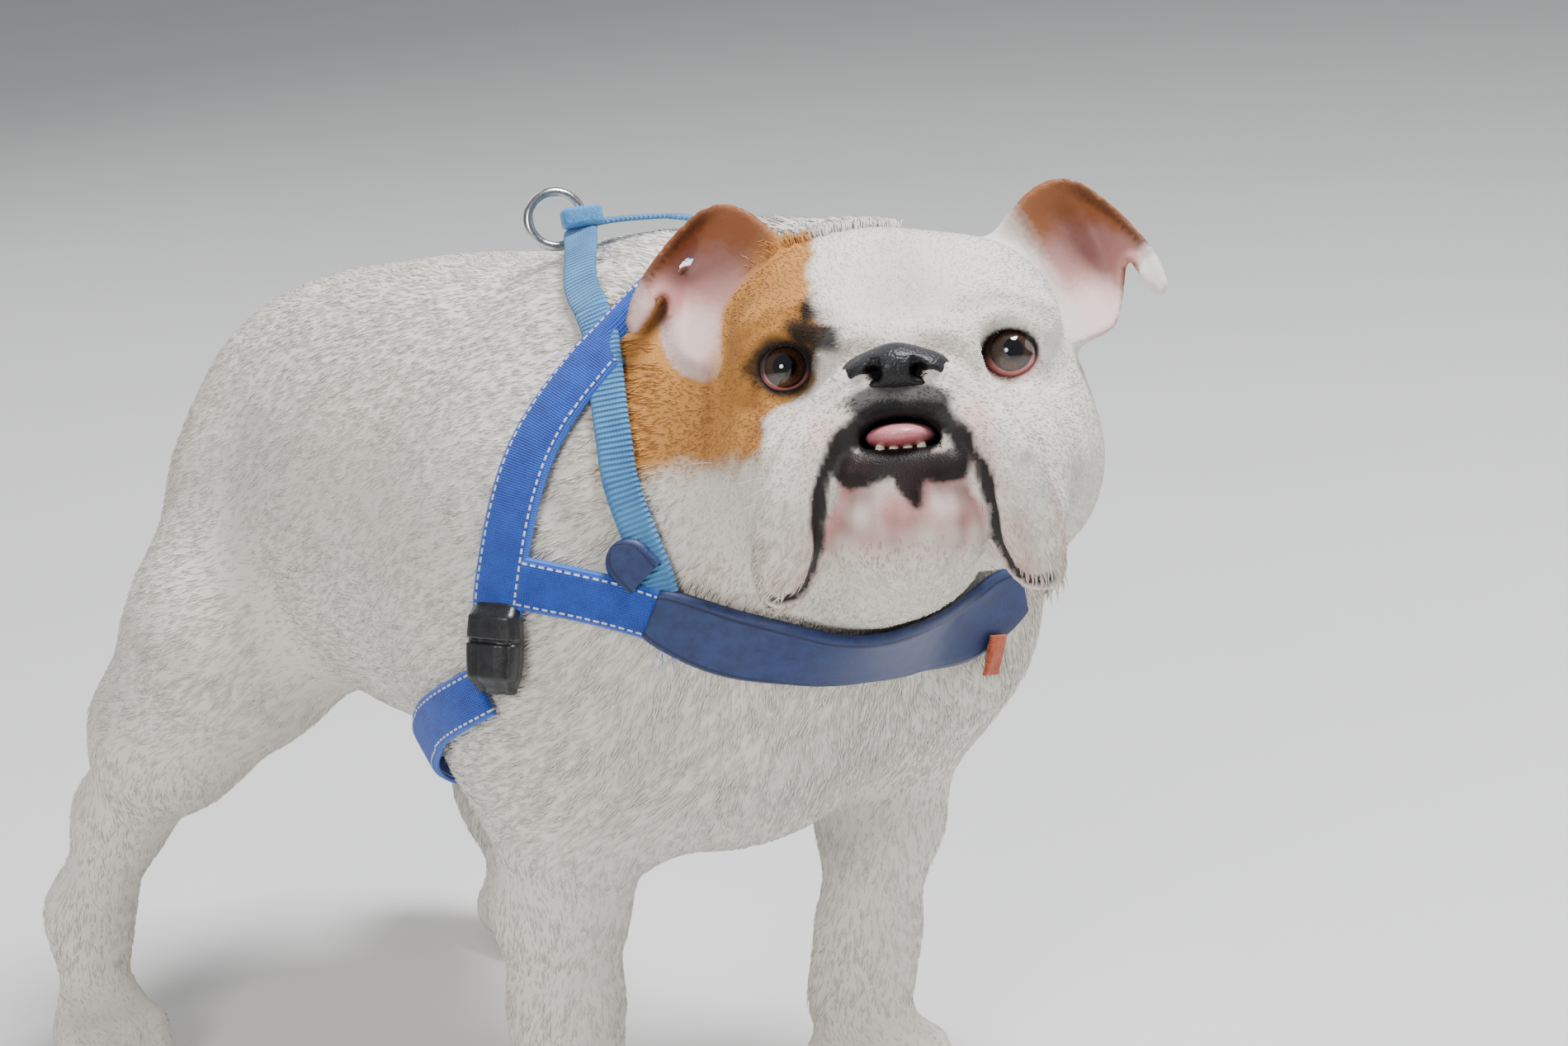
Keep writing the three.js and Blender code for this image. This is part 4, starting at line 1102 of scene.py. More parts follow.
def grow(name, amount, weight, stand=0.0, longer=1.0):
    """Locks rooted at random places, more of them where the weight is greater."""
    share = quad_area * weight(quad_points.mean(axis=1))
    chosen = chance.choice(count, amount, p=share / share.sum())
    a, b = chance.random((2, amount))
    mix = np.stack([(1 - a) * (1 - b), a * (1 - b), a * b, (1 - a) * b], -1)
    root = np.einsum("nk,nkd->nd", mix, quad_points[chosen])
    patch = np.einsum("nk,nkd->nd", mix, quad_uv[chosen])
    colours, bare = marking(root)
    keep = chance.random(amount) > bare * 1.3
    keep &= root[:, 2] > 3.5
    root, patch, colours = root[keep], patch[keep], colours[keep]
    normal = unit(spread[chosen][keep])
    wander = np.stack([ripple(root, 9, s) for s in (0.0, 2.0, 4.0)], -1) * 0.22
    way = hair_way(root) + wander + chance.normal(0, 0.13, root.shape)
    way = unit(way - normal * np.einsum("ij,ij->i", way, normal)[:, None])
    aside = np.cross(way, normal)
    n = len(root)
    long = hair_length(root) * longer * chance.uniform(0.7, 1.25, n)
    tilt = np.clip(chance.normal(0.085, 0.02, n) + stand, 0.04, 1.3)
    wide = (0.38 + 0.04 * long) * chance.uniform(0.75, 1.25, n)
    bend = chance.normal(0, 0.1, n)

    def spot(along, lift, turn):
        reach = (long * along * np.cos(tilt * turn))[:, None] * way
        rise = (long * along * np.sin(tilt * turn) + lift)[:, None] * normal
        return root + reach + rise + (long * bend * along**2)[:, None] * aside

    ends = [spot(0.0, -0.5, 1), spot(0.5, 0.0, 1.0), spot(1.0, 0.0, 0.62)]
    corners = []
    for end, w in zip(ends[:2], (0.85, 1.0)):
        half = (wide * w / 2)[:, None] * aside
        ridge = (wide * w * 0.4)[:, None] * normal
        corners += [end - half, end + half, end + ridge]
    points = np.stack([*corners, ends[2]], 1)
    shade = chance.uniform(0.9, 1.06, n)[:, None, None]
    # painted shade: each lock is darker at its root and lighter at its tip
    fade = np.array([0.9, 0.9, 0.92, 1.0, 1.0, 1.02, 1.04])[None, :, None]
    tint = np.clip(colours[:, None] * shade * fade, 0.003, 1)
    for number, start in enumerate(range(0, n, TUFTS_IN_PIECE)):
        part = slice(start, start + TUFTS_IN_PIECE)
        own = points[part]
        faces = (np.arange(len(own))[:, None, None] * 7 + LOCK_FACES).reshape(-1, 3)
        made = mesh_piece(f"{name}_{number + 1}", own.reshape(-1, 3), faces)
        paint(made, tint[part].reshape(-1, 3))
        spots = (patch[part][:, None] + LOCK_MAP * PATCH / 2).reshape(-1, 2)
        made.data.uv_layers.new(name="OFBake")
        made.data.uv_layers["OFBake"].data.foreach_set("uv", spots[faces.ravel()].ravel())
        made.data.materials.append(coat_finish)


NAPE = np.array([24.0, -86.0, 398.0])


def on_head(p):
    return region(p)[1] * off_ears(p)


def off_head(p):
    return (1 - region(p)[1]) * off_ears(p)


def off_ears(p):
    return 1 - smooth(ear_parts(p)[0], 0.1, 0.3)


def at_nape(p):
    return smooth(1 - lengths((p - NAPE) / (40, 30, 24)), 0, 0.4) + 1e-9


grow("body_coat", int(TUFTS * 0.74), off_head)
grow("head_coat", int(TUFTS * 0.25), on_head)
grow("nape_crest", int(TUFTS * 0.02), at_nape, stand=0.75, longer=1.9)


# Eyes
# Wet, nearly round eyes with dark brown irises and wide pupils, which look at the camera from
# under dark lids; a little red flesh shows below each.
PUPIL_R = 4.4
IRIS_R = 7.6
IRIS = np.array([0.035, 0.014, 0.007])
IRIS_LIT = np.array([0.075, 0.030, 0.012])
IRIS_RIM = np.array([0.010, 0.006, 0.006])
PUPIL = np.array([0.002, 0.002, 0.003])
SCLERA = np.array([0.09, 0.05, 0.05])
HAW = np.array([0.50, 0.17, 0.16])
camera_in_head = into_head(CAMERA_AT)
for side, word in ((-1, "right"), (1, "left")):
    centre = eye_centre(side)
    gaze = camera_in_head - centre
    gaze = gaze / np.linalg.norm(gaze) + (side * 0.06, 0, 0.13)
    gaze /= np.linalg.norm(gaze)
    right = np.cross(gaze, (0, 0, 1.0))
    right /= np.linalg.norm(right)
    up = np.cross(right, gaze)
    rings = np.concatenate([np.linspace(0.02, 0.85, 44), np.linspace(0.95, pi - 0.02, 20)])
    turns = np.linspace(0, 2 * pi, 73)[:-1]
    r, t = (grid.ravel() for grid in np.meshgrid(rings, turns, indexing="ij"))
    bulge = EYE_R + 0.8 * np.cos(np.clip(r / 0.72, 0, 1) * pi / 2) ** 2
    flat = np.stack([np.cos(t) * np.sin(r), np.sin(t) * np.sin(r), np.cos(r)], -1)
    own = centre + flat @ np.stack([right, up, gaze]) * bulge[:, None]
    at = np.arange(len(r)).reshape(len(rings), len(turns))
    wrap = np.roll(at, -1, axis=1)
    faces = np.stack([at[:-1], wrap[:-1], wrap[1:], at[1:]], -1).reshape(-1, 4)
    eyeball = mesh_piece(f"eyeball_{word}", from_head(own), faces)
    away = np.sin(r) * EYE_R
    streak = 0.5 + 0.3 * np.sin(t * 31 + 2 * np.sin(away)) + 0.2 * np.sin(t * 17 + 1)
    tones = np.tile(IRIS, (len(r), 1)) * (0.7 + 0.9 * streak)[:, None]
    # painted light: the lower part of the iris is painted lighter
    tones = blend(tones, IRIS_LIT, smooth(-np.sin(t) * away, 2, 7) * 0.5)
    tones = blend(tones, PUPIL, smooth(PUPIL_R - away, -0.35, 0.35))
    tones = blend(tones, IRIS_RIM, smooth(away, IRIS_R - 0.9, IRIS_R - 0.2))
    white = blend(np.tile(SCLERA, (len(r), 1)), HAW, smooth(-np.sin(t), 0.1, 0.6))
    tones = blend(tones, white, smooth(away, IRIS_R, IRIS_R + 0.5))
    paint(eyeball, tones, "eye_tones")
    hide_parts(f"eye_{word}")
    eye_finish, shader, place = finish_named(f"wet_eye_{word}", roughness=0.04, coat=1.0)
    feed(shader, "Base Color", painted(place, "eye_tones"))
    feed(shader, "Roughness", noise(place, 300) * 0.04 + 0.03)
    eyeball.data.materials.append(eye_finish)

# Nose
# Moist black leather with fine pebbles, two comma-shaped nostrils and a groove between them.
nose_form = carve(
    1.6,
    fuse(
        5,
        egg((0, -32, -6), (12.5, 12.8, 9.8)),
        *pair(lambda s: egg((s * 11.3, -31, -8), (9.2, 12, 8))),
    ),
    *pair(
        lambda s: limb(
            [
                (s * 7.4, -44, -4.5, 1.6), (s * 8.4, -43, -8.5, 2.9), (s * 12.5, -41, -10.5, 2.2),
                (s * 17, -37, -10.0, 1.3),
            ],
            2,
        )
    ),
    *pair(lambda s: bone((s * 8.4, -45, -8.5), (s * 7.2, -34, -7), 2.6, 1.6)),
    bone((0, -46, -5), (0, -44, -18), 0.8, 1.2),
)


def small_form(name, form, low, high, step, places=from_head):
    """A closed piece from a form in the head's own frame, or in the one that places says."""
    axes = [np.arange(a, b + step, step) for a, b in zip(low, high)]
    points, faces = draw_surface(form, *axes, near=3 * step + 1, skip=2)
    points, faces = largest_part(points, faces)
    points = settle(form, points, reach=step)
    return mesh_piece(name, places(points), faces), points


nose, nose_points = small_form("nose_leather", nose_form, (-24, -52, -25), (24, -12, 8), 0.8)
NOSE_DARK = np.array([0.011, 0.011, 0.013])
NOSE_LIT = np.array([0.030, 0.030, 0.036])
NOSTRIL_SHADE = np.array([0.004, 0.003, 0.003])
hollows = pair(
    lambda s: limb(
        [(s * 7.6, -43, -3.5, 1), (s * 8.2, -42, -8.5, 2), (s * 12.5, -39, -12.5, 1)], 2
    )(nose_points)
)
tones = np.tile(NOSE_DARK, (len(nose_points), 1))
# painted highlight: the top of the nose is painted lighter
tones = blend(tones, NOSE_LIT, smooth(nose_points[:, 2], -8, 0) * 0.7)
# painted shade: the nostril hollows are painted a deeper black than the rest of the leather
tones = blend(tones, NOSTRIL_SHADE, smooth(2.2 - np.minimum(*hollows), 0, 1.6))
paint(nose, tones)
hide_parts("nose")
nose_finish, shader, place = finish_named("nose_leather", roughness=0.42, coat=0.08, specular=0.3)
pebbles = place.node("ShaderNodeTexVoronoi", None, {"Vector": place, "Scale": 900.0})
feed(shader, "Base Color", painted(place))
feed(shader, "Roughness", noise(place, 220) * 0.3 + 0.28)
feed(shader, "Normal", raised(place, pebbles, 0.00035, 0.8))
nose.data.materials.append(nose_finish)

# Tongue
# The tip of a wet, pink tongue that rests in the front of the mouth, with a groove down its
# middle and a darker underside.
tongue_form = carve(
    2,
    egg((0, -31, -30.5), (12.8, 14.8, 4.9)),
    bone((0, -48, -24.6), (0, -20, -24), 0.7, 0.7),
)
tongue, tongue_points = small_form("tongue_tip", tongue_form, (-16, -48, -38), (16, -14, -23), 0.8)
TONGUE_TOP = np.array([0.66, 0.24, 0.27])
TONGUE_UNDER = np.array([0.46, 0.10, 0.11])
tones = np.tile(TONGUE_TOP, (len(tongue_points), 1))
paint(tongue, blend(tones, TONGUE_UNDER, smooth(-tongue_points[:, 2], 30, 34)))
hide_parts("tongue")
tongue_finish, shader, place = finish_named("wet_tongue", roughness=0.3, coat=0.5, subsurface=0.2)
feed(shader, "Base Color", painted(place))
feed(shader, "Roughness", noise(place, 500) * 0.3 + 0.2)
feed(shader, "Normal", raised(place, noise(place, 1400, 2), 0.0003))
tongue.data.materials.append(tongue_finish)

# Lower teeth
# Four small front teeth of pale enamel in one row, set in a strip of pink gum behind the
# lower lip.
teeth_form = fuse(
    1,
    egg((0, -36, -38.5), (13, 2.6, 2.4)),
    *[egg(((n - 1.5) * 5, -37, -36), (1.9, 1.6, 3.5)) for n in range(4)],
)
teeth, teeth_points = small_form("front_teeth", teeth_form, (-15, -41, -43), (15, -32, -31), 0.6)
ENAMEL = np.array([0.80, 0.74, 0.60])
GUM = np.array([0.45, 0.16, 0.15])
tones = np.tile(ENAMEL, (len(teeth_points), 1))
paint(teeth, blend(tones, GUM, smooth(-teeth_points[:, 2], 36.2, 37.6)))
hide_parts("lower_teeth")
tooth_finish, shader, place = finish_named("enamel", roughness=0.2, coat=0.4)
feed(shader, "Base Color", painted(place))
feed(shader, "Roughness", noise(place, 300) * 0.15 + 0.15)
teeth.data.materials.append(tooth_finish)

# Claws
# Short curved claws of horn, four to a paw, streaked in pale and dark brown, each rooted in its
# toe.
claw_finish, shader, place = finish_named("claw_horn", roughness=0.35)
grain = noise(place, 240, 4)
feed(shader, "Base Color", grain.mixed((0.30, 0.20, 0.15, 1), (0.10, 0.06, 0.045, 1)))
feed(shader, "Roughness", grain * 0.2 + 0.3)
feed(shader, "Normal", raised(place, grain, 0.0002))
for paw_name, (foot, _, scale) in PAWS.items():
    turn = paw_turn(paw_name)
    end, side = paw_name.split("paw_")
    for number, (x, y) in enumerate(TOES):
        claw_form = fuse(
            1,
            bone((x, y - 3, 12.5), (x, y - 9.5, 11), 3.4, 3.0),
            bone((x, y - 9.5, 11), (x, y - 15, 7.0), 3.0, 1.3),
        )
        name = f"claw_{end}_{side}_tip_{number + 1}"
        low, high = (x - 5, y - 19, 3), (x + 5, y + 2, 18)
        claw, _ = small_form(
            name, claw_form, low, high, 1.1, lambda p: p * scale @ turn.T + foot
        )
        claw.data.materials.append(claw_finish)
        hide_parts(f"claw_{end}_{side}_{number + 1}")

# Royal blue straps
# Flat woven nylon with a row of white stitching near each edge: two girth straps, two side
# straps and the belly strap, sewn into one harness. Each is a strip laid along the coat.
STRAP_WIDE = 20.5
STRAP_THICK = 3.6
BELLY_THICK = 2.6
LIFT = 1.5
ACROSS = 12
APEX = (-14, 10, 396, 6)


def under_the_ear(under, depth):
    """How low and thin a strap lies where the right ear rests on it."""
    away = np.array([ear_trees[-1].find_nearest(Vector(spot))[3] for spot in under])
    near = smooth(16 - away, 0, 7)
    return settle(body_form, under, LIFT - 9.0 * near, 20, 2), depth * (1 - 0.72 * near)


def strip_faces(steps):
    """The faces of a strip with an underside and a top, each a grid of corners."""
    at = np.arange(2 * (steps + 1) * (ACROSS + 1)).reshape(2, steps + 1, ACROSS + 1)
    a, b, c, d = at[:, :-1, :-1], at[:, 1:, :-1], at[:, 1:, 1:], at[:, :-1, 1:]
    faces = [
        np.stack([a[1], b[1], c[1], d[1]], -1).reshape(-1, 4),
        np.stack([d[0], c[0], b[0], a[0]], -1).reshape(-1, 4),
    ]
    sides = [(at[:, :, 0], 1), (at[:, :, -1], -1), (at[:, 0], -1), (at[:, -1], 1)]
    for rim, flip in sides:
        edge = np.stack([rim[0, :-1], rim[0, 1:], rim[1, 1:], rim[1, :-1]], -1)
        faces.append(edge[:, ::flip])
    return np.concatenate(faces)


def band(name, path, wide, thick, low=LIFT, steps=90, taper=None, field=None, relief=None):
    """A strip that follows the coat, with its length and width kept as a map for the weave."""
    field = field or body_form
    columns = ACROSS
    path = np.array([(*point, 0.0)[:4] for point in path], float)
    t = np.linspace(0, 1, steps + 1)
    height = np.interp(t * (len(path) - 1), np.arange(len(path)), path[:, 3]) + low
    centre = settle(field, along_curve(path[:, :3], t), height, 60, 4)
    ahead = np.gradient(centre, axis=0)
    normal = unit(slope_of(field, centre)[1])
    aside = unit(np.cross(normal, ahead))
    across = np.linspace(-1, 1, columns + 1)
    half = wide / 2 * (taper(t) if taper else np.ones(steps + 1))
    rows = centre[:, None] + aside[:, None] * (across[:, None] * half[:, None, None])
    under = settle(field, rows.reshape(-1, 3), np.repeat(height, columns + 1), 20, 3)
    out = unit(slope_of(field, under)[1])
    u, v = np.repeat(t, columns + 1), np.tile(across, steps + 1)
    depth = thick * (0.45 + 0.55 * np.sqrt(1 - 0.98 * np.abs(v) ** 8))
    if relief:
        depth = depth + relief(u, v)
    if "girth" in name:
        under, depth = under_the_ear(under, depth)
    points = np.concatenate([under, under + out * depth[:, None]])
    faces = strip_faces(steps)
    made = mesh_piece(name, points, faces)
    length = np.concatenate([[0], np.cumsum(lengths(np.diff(centre, axis=0)))])
    half = np.repeat(half, columns + 1)
    spots = np.stack([np.repeat(length, columns + 1), v * half], -1) * MM
    layer = made.data.uv_layers.new(name="weave")
    layer.data.foreach_set("uv", np.tile(spots, (2, 1))[faces.ravel()].ravel())
    layer = made.data.attributes.new("half_width", "FLOAT", "POINT")
    layer.data.foreach_set("value", np.tile(half, 2) * MM)
    return made


def weave_map(place):
    """How far along a strap and across it each point is, in metres."""
    spot = place.node("ShaderNodeUVMap", {"uv_map": "weave"})
    return [spot.node("ShaderNodeSeparateXYZ", None, {0: spot}, n) for n in (0, 1)]


def from_edge(place, aside):
    """How far in from the nearest edge of its strap each point is, in metres."""
    return painted(place, "half_width", 2) - aside.maths("ABSOLUTE")


def waves(value, pitch):
    return (value * (2 * pi / pitch)).maths("SINE")


royal_finish, shader, place = finish_named("royal_webbing", roughness=0.7, sheen=0.15)
along, aside = weave_map(place)
edge = from_edge(place, aside)
threads = waves(along + aside, 0.0019) * waves(along - aside, 0.0019)
wear = noise(place, 130, 4)
dash = (along / 0.0034).maths("FRACT").maths("LESS_THAN", 0.64)
row = (edge - 0.0022).maths("ABSOLUTE").maths("LESS_THAN", 0.00042)
stitch = dash * row
cloth = (threads * 0.22 + wear).clamped(0.2, 0.9)
blue = cloth.mixed((0.004, 0.035, 0.30, 1), (0.012, 0.105, 0.62, 1))
border = edge.clamped(0.0005, 0.0014)
blue = border.mixed((0.03, 0.16, 0.70, 1), blue)
feed(shader, "Base Color", stitch.mixed(blue, (0.78, 0.80, 0.84, 1)))
feed(shader, "Roughness", wear * 0.3 + 0.55)
feed(shader, "Normal", raised(place, threads * 0.5 + stitch * 1.6, 0.0005))

STRAPS = {
    "girth_strap_right": [
        (14, -56, 398), (-24, -56, 394), (-54, -56, 380), (-92, -47, 342), (-111, -43, 293),
        (-115, -43, 275),
    ],
    "girth_strap_left": [
        (15, -56, 398), (48, -64, 392), (84, -56, 364), (112, -46, 330), (126, -34, 290),
        (128, -26, 262),
    ],
    "belly_strap": [
        (-118, -38, 250), (-110, 2, 226), (-92, 36, 198), (-46, 66, 164), (0, 70, 156),
        (50, 62, 164), (98, 40, 198), (124, 4, 232), (129, -22, 256),
    ],
    "side_strap_right": [(-106, -50, 292), (-90, -72, 286), (-74, -92, 277)],
    "side_strap_left": [(129, -44, 262), (124, -72, 258), (108, -104, 254)],
}
for name, path in STRAPS.items():
    thick = BELLY_THICK if name == "belly_strap" else STRAP_THICK
    steps = 60 if "side" in name else 150
    strap = band(f"{name}_webbing", path, STRAP_WIDE, thick, steps=steps)
    strap.data.materials.append(royal_finish)
    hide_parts(name)

# Neck tapes
# Two narrow, ribbed nylon tapes, faded to light blue by the sun, that run from the ring under
# the girth straps to the chest plate and are sewn to it.
pale_finish, shader, place = finish_named("pale_tape", roughness=0.75, sheen=0.2)
along, aside = weave_map(place)
ribs = waves(along, 0.0021)
fade = noise(place, 60, 4)
cloth = (ribs * 0.16 + fade).clamped(0.15, 0.9)
feed(shader, "Base Color", cloth.mixed((0.018, 0.12, 0.36, 1), (0.10, 0.36, 0.66, 1)))
feed(shader, "Roughness", fade * 0.2 + 0.62)
feed(shader, "Normal", raised(place, ribs + waves(aside, 0.0012) * 0.2, 0.00045))
TAPES = {
    "neck_strap_right": [
        (-73, -92, 286), (-75, -90, 298), (-78, -80, 327), (-74, -72, 348), (-59, -50, 381),
        (-47, -24, 395), (-28, -4, 400, 3), APEX,
    ],
    "neck_strap_left": [
        (100, -118, 262), (112, -112, 290), (110, -98, 326), (84, -80, 368), (44, -44, 396),
        (12, -4, 400, 3), (-8, 10, 398, 6),
    ],
}
TAPE_WIDE = 14
TAPE_THICK = 1.8
for name, path in TAPES.items():
    tape = band(f"{name}_tape", path, TAPE_WIDE, TAPE_THICK, steps=150)
    tape.data.materials.append(pale_finish)
    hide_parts(name)

# Chest plate and tab
# A curved plate of dark blue rubber with a welt along both edges lies over the breast, and a
# rounded tab of the same rubber sits behind the right neck tape. Both are sewn to the straps.
navy_finish, shader, place = finish_named("navy_rubber", roughness=0.5)
along, aside = weave_map(place)
edge = from_edge(place, aside)
scuff = noise(place, 160, 5, 0.7)
welt = (edge - 0.0026).maths("ABSOLUTE").maths("LESS_THAN", 0.0005)
tone = scuff.clamped(0.3, 0.8).mixed((0.006, 0.016, 0.075, 1), (0.024, 0.052, 0.18, 1))
feed(shader, "Base Color", welt.mixed(tone, (0.004, 0.010, 0.05, 1)))
feed(shader, "Roughness", scuff * 0.35 + 0.34)
feed(shader, "Normal", raised(place, noise(place, 900, 2) * 0.5 - welt, 0.0003))
chest_form = fuse(30, trunk, neck, limb(FORE_RIGHT, 20), limb(FORE_LEFT, 20))
PLATE_WIDE = 36
PLATE_THICK = 4.0
plate = band(
    "chest_plate_rubber",
    [
        (-76, -88, 279), (-56, -107, 266), (-32, -127, 258), (5, -132, 251), (56, -111, 241),
        (78, -110, 243), (94, -110, 246),
    ],
    PLATE_WIDE,
    PLATE_THICK,
    low=1.8,
    steps=150,
    taper=lambda t: 0.55 + 0.45 * np.sin(pi * t) ** 0.6,
    field=chest_form,
    relief=lambda u, v: 0.9 * smooth(np.abs(v), 0.8, 0.88) * (1 - smooth(np.abs(v), 0.93, 1)),
)
tab = band(
    "strap_tab_rubber",
    [(-84, -79, 306), (-77, -88, 293)],
    19,
    4.6,
    steps=40,
    taper=lambda t: np.sqrt(np.clip(1 - (1 - t / 0.55) ** 2, 0.02, 1)) * (t < 0.55) + (t >= 0.55),
)
for made, node in ((plate, "chest_plate"), (tab, "strap_tab")):
    made.data.materials.append(navy_finish)
    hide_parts(node)


# Side buckle
# A squeeze-release buckle moulded in black plastic, curved to the ribs, with two prongs in
# its housing. It joins the right girth strap to the belly strap.
def prongs(u, v):
    """The gaps beside the prongs, the joint and the rounded ends, as changes in height."""
    arms = smooth(0.1 - np.abs(np.abs(v) - 0.55), 0, 0.04) * smooth(u, 0.4, 0.45)
    joint = smooth(0.035 - np.abs(u - 0.42), 0, 0.02)
    ends = smooth(u, 0.0, 0.16) * smooth(1 - u, 0.0, 0.2)
    return -1.6 * arms - 1.4 * joint - 4.6 * (1 - ends)


buckle = band(
    "side_buckle",
    [(-114, -43, 285), (-119, -44, 250)],
    22,
    8.2,
    steps=70,
    taper=lambda t: 0.86 + 0.14 * np.sin(pi * t) - 0.12 * smooth(t, 0.8, 1),
    relief=prongs,
)
plastic_finish, shader, place = finish_named("black_plastic", roughness=0.35, coat=0.2)
scuff = noise(place, 300, 4)
feed(shader, "Base Color", scuff.mixed((0.006, 0.006, 0.007, 1), (0.022, 0.022, 0.025, 1)))
feed(shader, "Roughness", scuff * 0.25 + 0.22)
feed(shader, "Normal", raised(place, noise(place, 1200, 2), 0.00012))
buckle.data.materials.append(plastic_finish)
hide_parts("buckle")

# Woven tag
# A short orange tag of coarse cloth, sewn to the left side of the chest plate and curled.
tag = band(
    "woven_tag",
    [(77, -110, 233), (76, -109.5, 228), (74, -109, 217)],
    8.5,
    1.6,
    low=6.5,
    steps=40,
    taper=lambda t: 1 - 0.12 * np.sin(9 * t) * t,
    relief=lambda u, v: 0.9 * np.sin(pi * u) + 0.5 * np.sin(5 * u + 2 * v),
)
tag_finish, shader, place = finish_named("orange_cloth", roughness=0.85, sheen=0.3)
along, aside = weave_map(place)
weave = waves(along, 0.0011) * waves(aside, 0.0011)
cloth = (weave * 0.25 + noise(place, 500, 4)).clamped(0.1, 0.9)
feed(shader, "Base Color", cloth.mixed((0.38, 0.045, 0.012, 1), (0.78, 0.17, 0.05, 1)))
feed(shader, "Roughness", cloth * 0.1 + 0.8)
feed(shader, "Normal", raised(place, cloth, 0.0006))
tag.data.materials.append(tag_finish)
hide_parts("tag")


# Ring
# A ring of polished steel wire at the top of the back, held up by its loop of tape.
def middle_of(node):
    return np.array(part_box(node)).mean(axis=0) / MM - SHIFT


def round_grid(name, points, rows, columns):
    """A closed ring of rings."""
    at = np.arange(rows * columns).reshape(rows, columns)
    down, over = np.roll(at, -1, 0), np.roll(at, -1, 1)
    both = np.roll(over, -1, 0)
    return mesh_piece(name, points, np.stack([at, down, both, over], -1).reshape(-1, 4))


RING_R = 11
WIRE_R = 2
ROUND_RING = 96
ROUND_WIRE = 24
ring_turn = np.array((Euler((0, 0, -0.5)).to_matrix() @ Euler((1.25, 0, 0)).to_matrix()))
turns = [np.arange(n) * 2 * pi / n for n in (ROUND_RING, ROUND_WIRE)]
a, b = (grid.ravel() for grid in np.meshgrid(*turns, indexing="ij"))
reach = RING_R + WIRE_R * np.cos(b)
wire = np.stack([reach * np.cos(a), reach * np.sin(a), WIRE_R * np.sin(b)], -1)
ring_middle = middle_of("ring")
ring = round_grid("back_ring", wire @ ring_turn.T + ring_middle, ROUND_RING, ROUND_WIRE)
steel_finish, shader, place = finish_named("ring_steel", roughness=0.2, metallic=1.0)
scuff = noise(place, 500, 5)
feed(shader, "Base Color", scuff.mixed((0.42, 0.43, 0.45, 1), (0.72, 0.73, 0.75, 1)))
feed(shader, "Roughness", scuff * 0.25 + 0.12)
ring.data.materials.append(steel_finish)
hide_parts("ring")

# Loop of the ring
# A soft block of tape, folded round the wire of the ring and sewn to the straps where they
# meet, with room cut in it for the wire.
loop_turn = np.array((Euler((0, 0, -0.5)).to_matrix() @ Euler((-0.3, 0, 0)).to_matrix()))
loop_middle = middle_of("strap_loop")
LOOP_HALF = (8.2, 6.2, 4.2)
LOOP_ROOM = 0.4


def loop_form(p):
    q = np.abs((p - loop_middle) @ loop_turn) / LOOP_HALF
    block = ((q**6).sum(axis=1) ** (1 / 6) - 1) * LOOP_HALF[2]
    about_ring = (p - ring_middle) @ ring_turn
    from_wire = np.hypot(lengths(about_ring[:, :2]) - RING_R, about_ring[:, 2])
    return np.maximum(block, WIRE_R + LOOP_ROOM - from_wire)


axes = [np.arange(loop_middle[n] - 13, loop_middle[n] + 13, 0.9) for n in range(3)]
loop_points, loop_faces = largest_part(*draw_surface(loop_form, *axes, near=3, skip=2))
loop = mesh_piece("ring_loop", loop_points, loop_faces)
loop_finish, shader, place = finish_named("folded_tape", roughness=0.75, sheen=0.2)
ribs = noise(place, 700, 2)
feed(shader, "Base Color", ribs.mixed((0.02, 0.14, 0.40, 1), (0.10, 0.36, 0.66, 1)))
feed(shader, "Roughness", ribs * 0.2 + 0.6)
feed(shader, "Normal", raised(place, ribs, 0.0005))
loop.data.materials.append(loop_finish)
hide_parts("strap_loop")


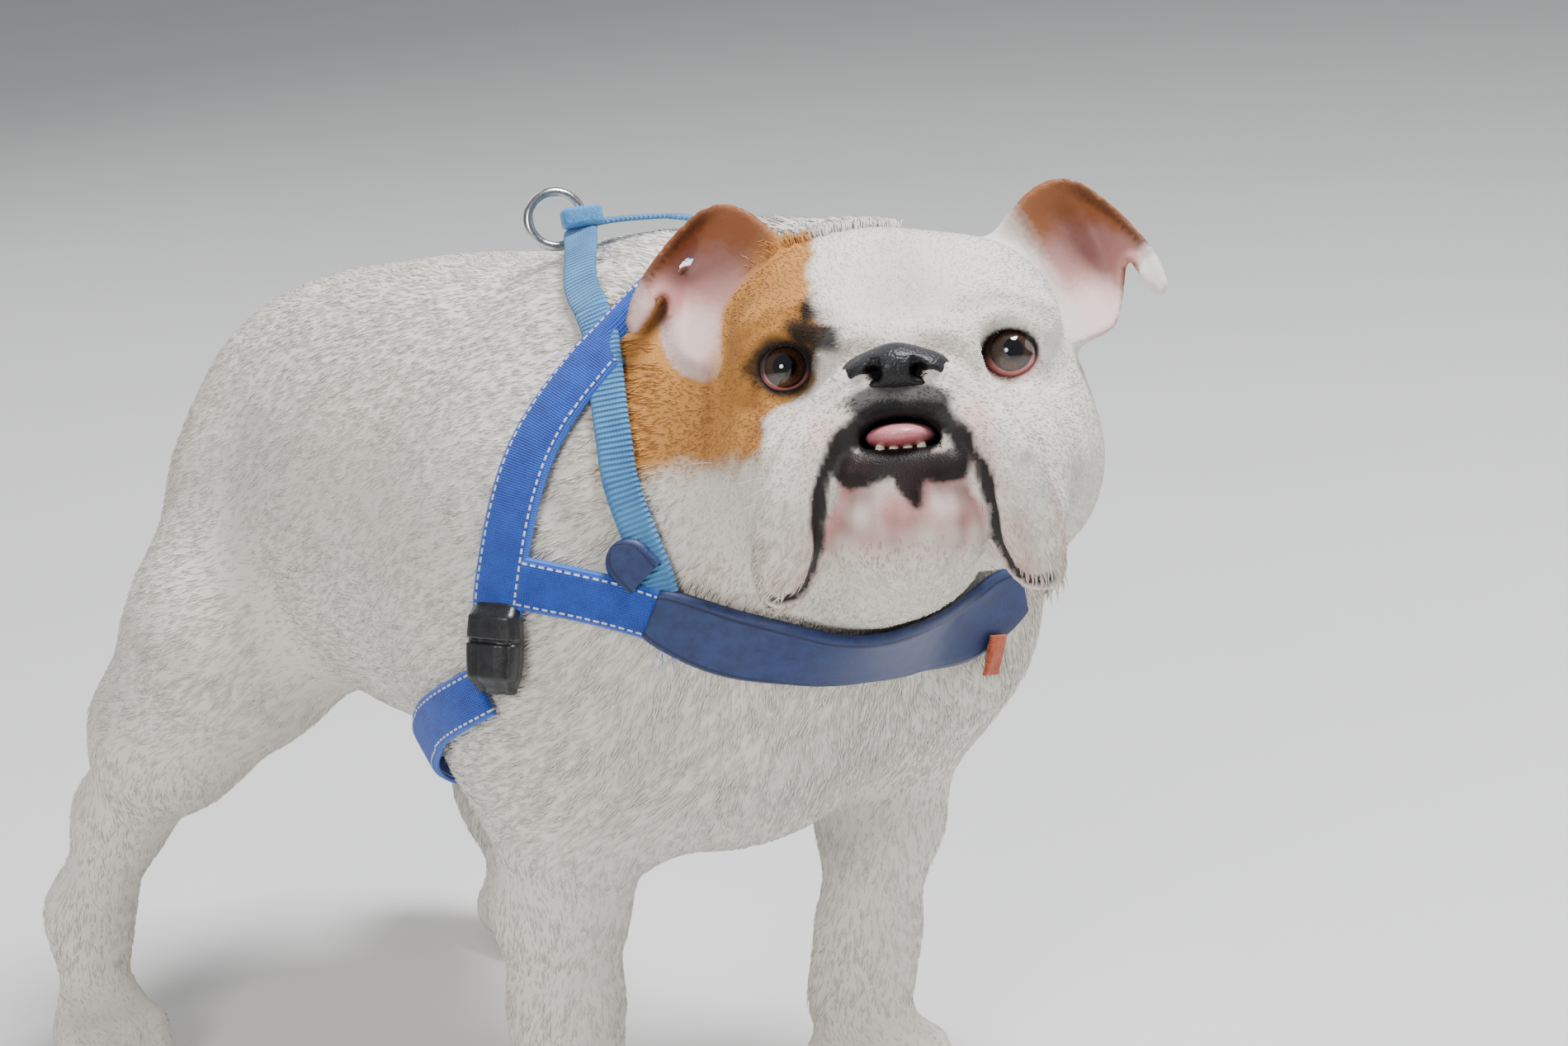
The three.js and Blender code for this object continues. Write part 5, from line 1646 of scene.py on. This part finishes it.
# Whiskers
# A few stiff, pale whiskers on the flews and cheeks, thin tapered tubes rooted in the skin.
def strands(name, roots, ways, long, thick, finish):
    """Thin tapered tubes that bend a little downwards."""
    steps, sides = 9, 5
    t = np.linspace(0, 1, steps)[None, :, None]
    n = len(roots)
    droop = chance.uniform(0.05, 0.3, n)[:, None, None] * (0.0, 0.0, -1.0)
    spine = roots[:, None] + long[:, None, None] * (ways[:, None] * t + droop * t * t)
    first = unit(np.cross(ways, (0.1, 0.2, 1.0)))
    second = np.cross(ways, first)
    turn = np.arange(sides) * 2 * pi / sides
    circle = first[:, None] * np.cos(turn)[:, None] + second[:, None] * np.sin(turn)[:, None]
    radius = thick / 2 * (1 - 0.9 * t[..., None])
    points = (spine[:, :, None] + circle[:, None] * radius).reshape(-1, 3)
    at = np.arange(len(points)).reshape(n, steps, sides)
    over = np.roll(at, -1, 2)
    faces = np.stack([at[:, :-1], over[:, :-1], over[:, 1:], at[:, 1:]], -1).reshape(-1, 4)
    made = mesh_piece(name, points, faces)
    made.data.materials.append(finish)


roots, ways = [], []
for s in (1, -1):
    for row in range(3):
        for n in range(4):
            roots.append((s * (30 + 6 * n + row), -44 + 4 * n, -34 - 9 * row - 3 * n))
            ways.append((s * (0.9 + 0.1 * n), -0.5, -0.1 - 0.25 * row))
    for row in range(2):
        roots.append((s * 74, 14 + 8 * row, -30 - 8 * row))
        ways.append((s, -0.25, 0.1 - 0.3 * row))
roots = settle(skin_level, from_head(np.array(roots)), 0.0, 12, 4)
ways = unit(np.array(ways)) @ HEAD_AXES.T
WHISKER_THICK = 0.28
whisker_finish, shader, place = finish_named("whisker", roughness=0.4)
feed(shader, "Base Color", noise(place, 90).mixed((0.62, 0.58, 0.52, 1), (0.85, 0.83, 0.8, 1)))
long = chance.uniform(7, 15, len(roots))
strands("whiskers", roots, ways, long, WHISKER_THICK, whisker_finish)

# Frayed threads
# Loose blue threads at the worn end of the webbing, where it meets the chest plate.
FRAY_AT = np.array([(-74, -88, 260)])
THREADS = 14
fray = settle(chest_form, FRAY_AT + chance.normal(0, 2.2, (THREADS, 3)), 2.5, 9, 3)
ways = unit(chance.normal(0, 0.6, (THREADS, 3)) + (-0.5, -0.6, -0.5))
long = chance.uniform(4, 10, THREADS)
strands("frayed_threads", fray, ways, long, 0.3, royal_finish)

bpy.context.view_layer.update()
boxes = {"cad_box": cad_box, "visual_box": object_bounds()}
size = {name: [[float(v) for v in corner] for corner in box] for name, box in boxes.items()}
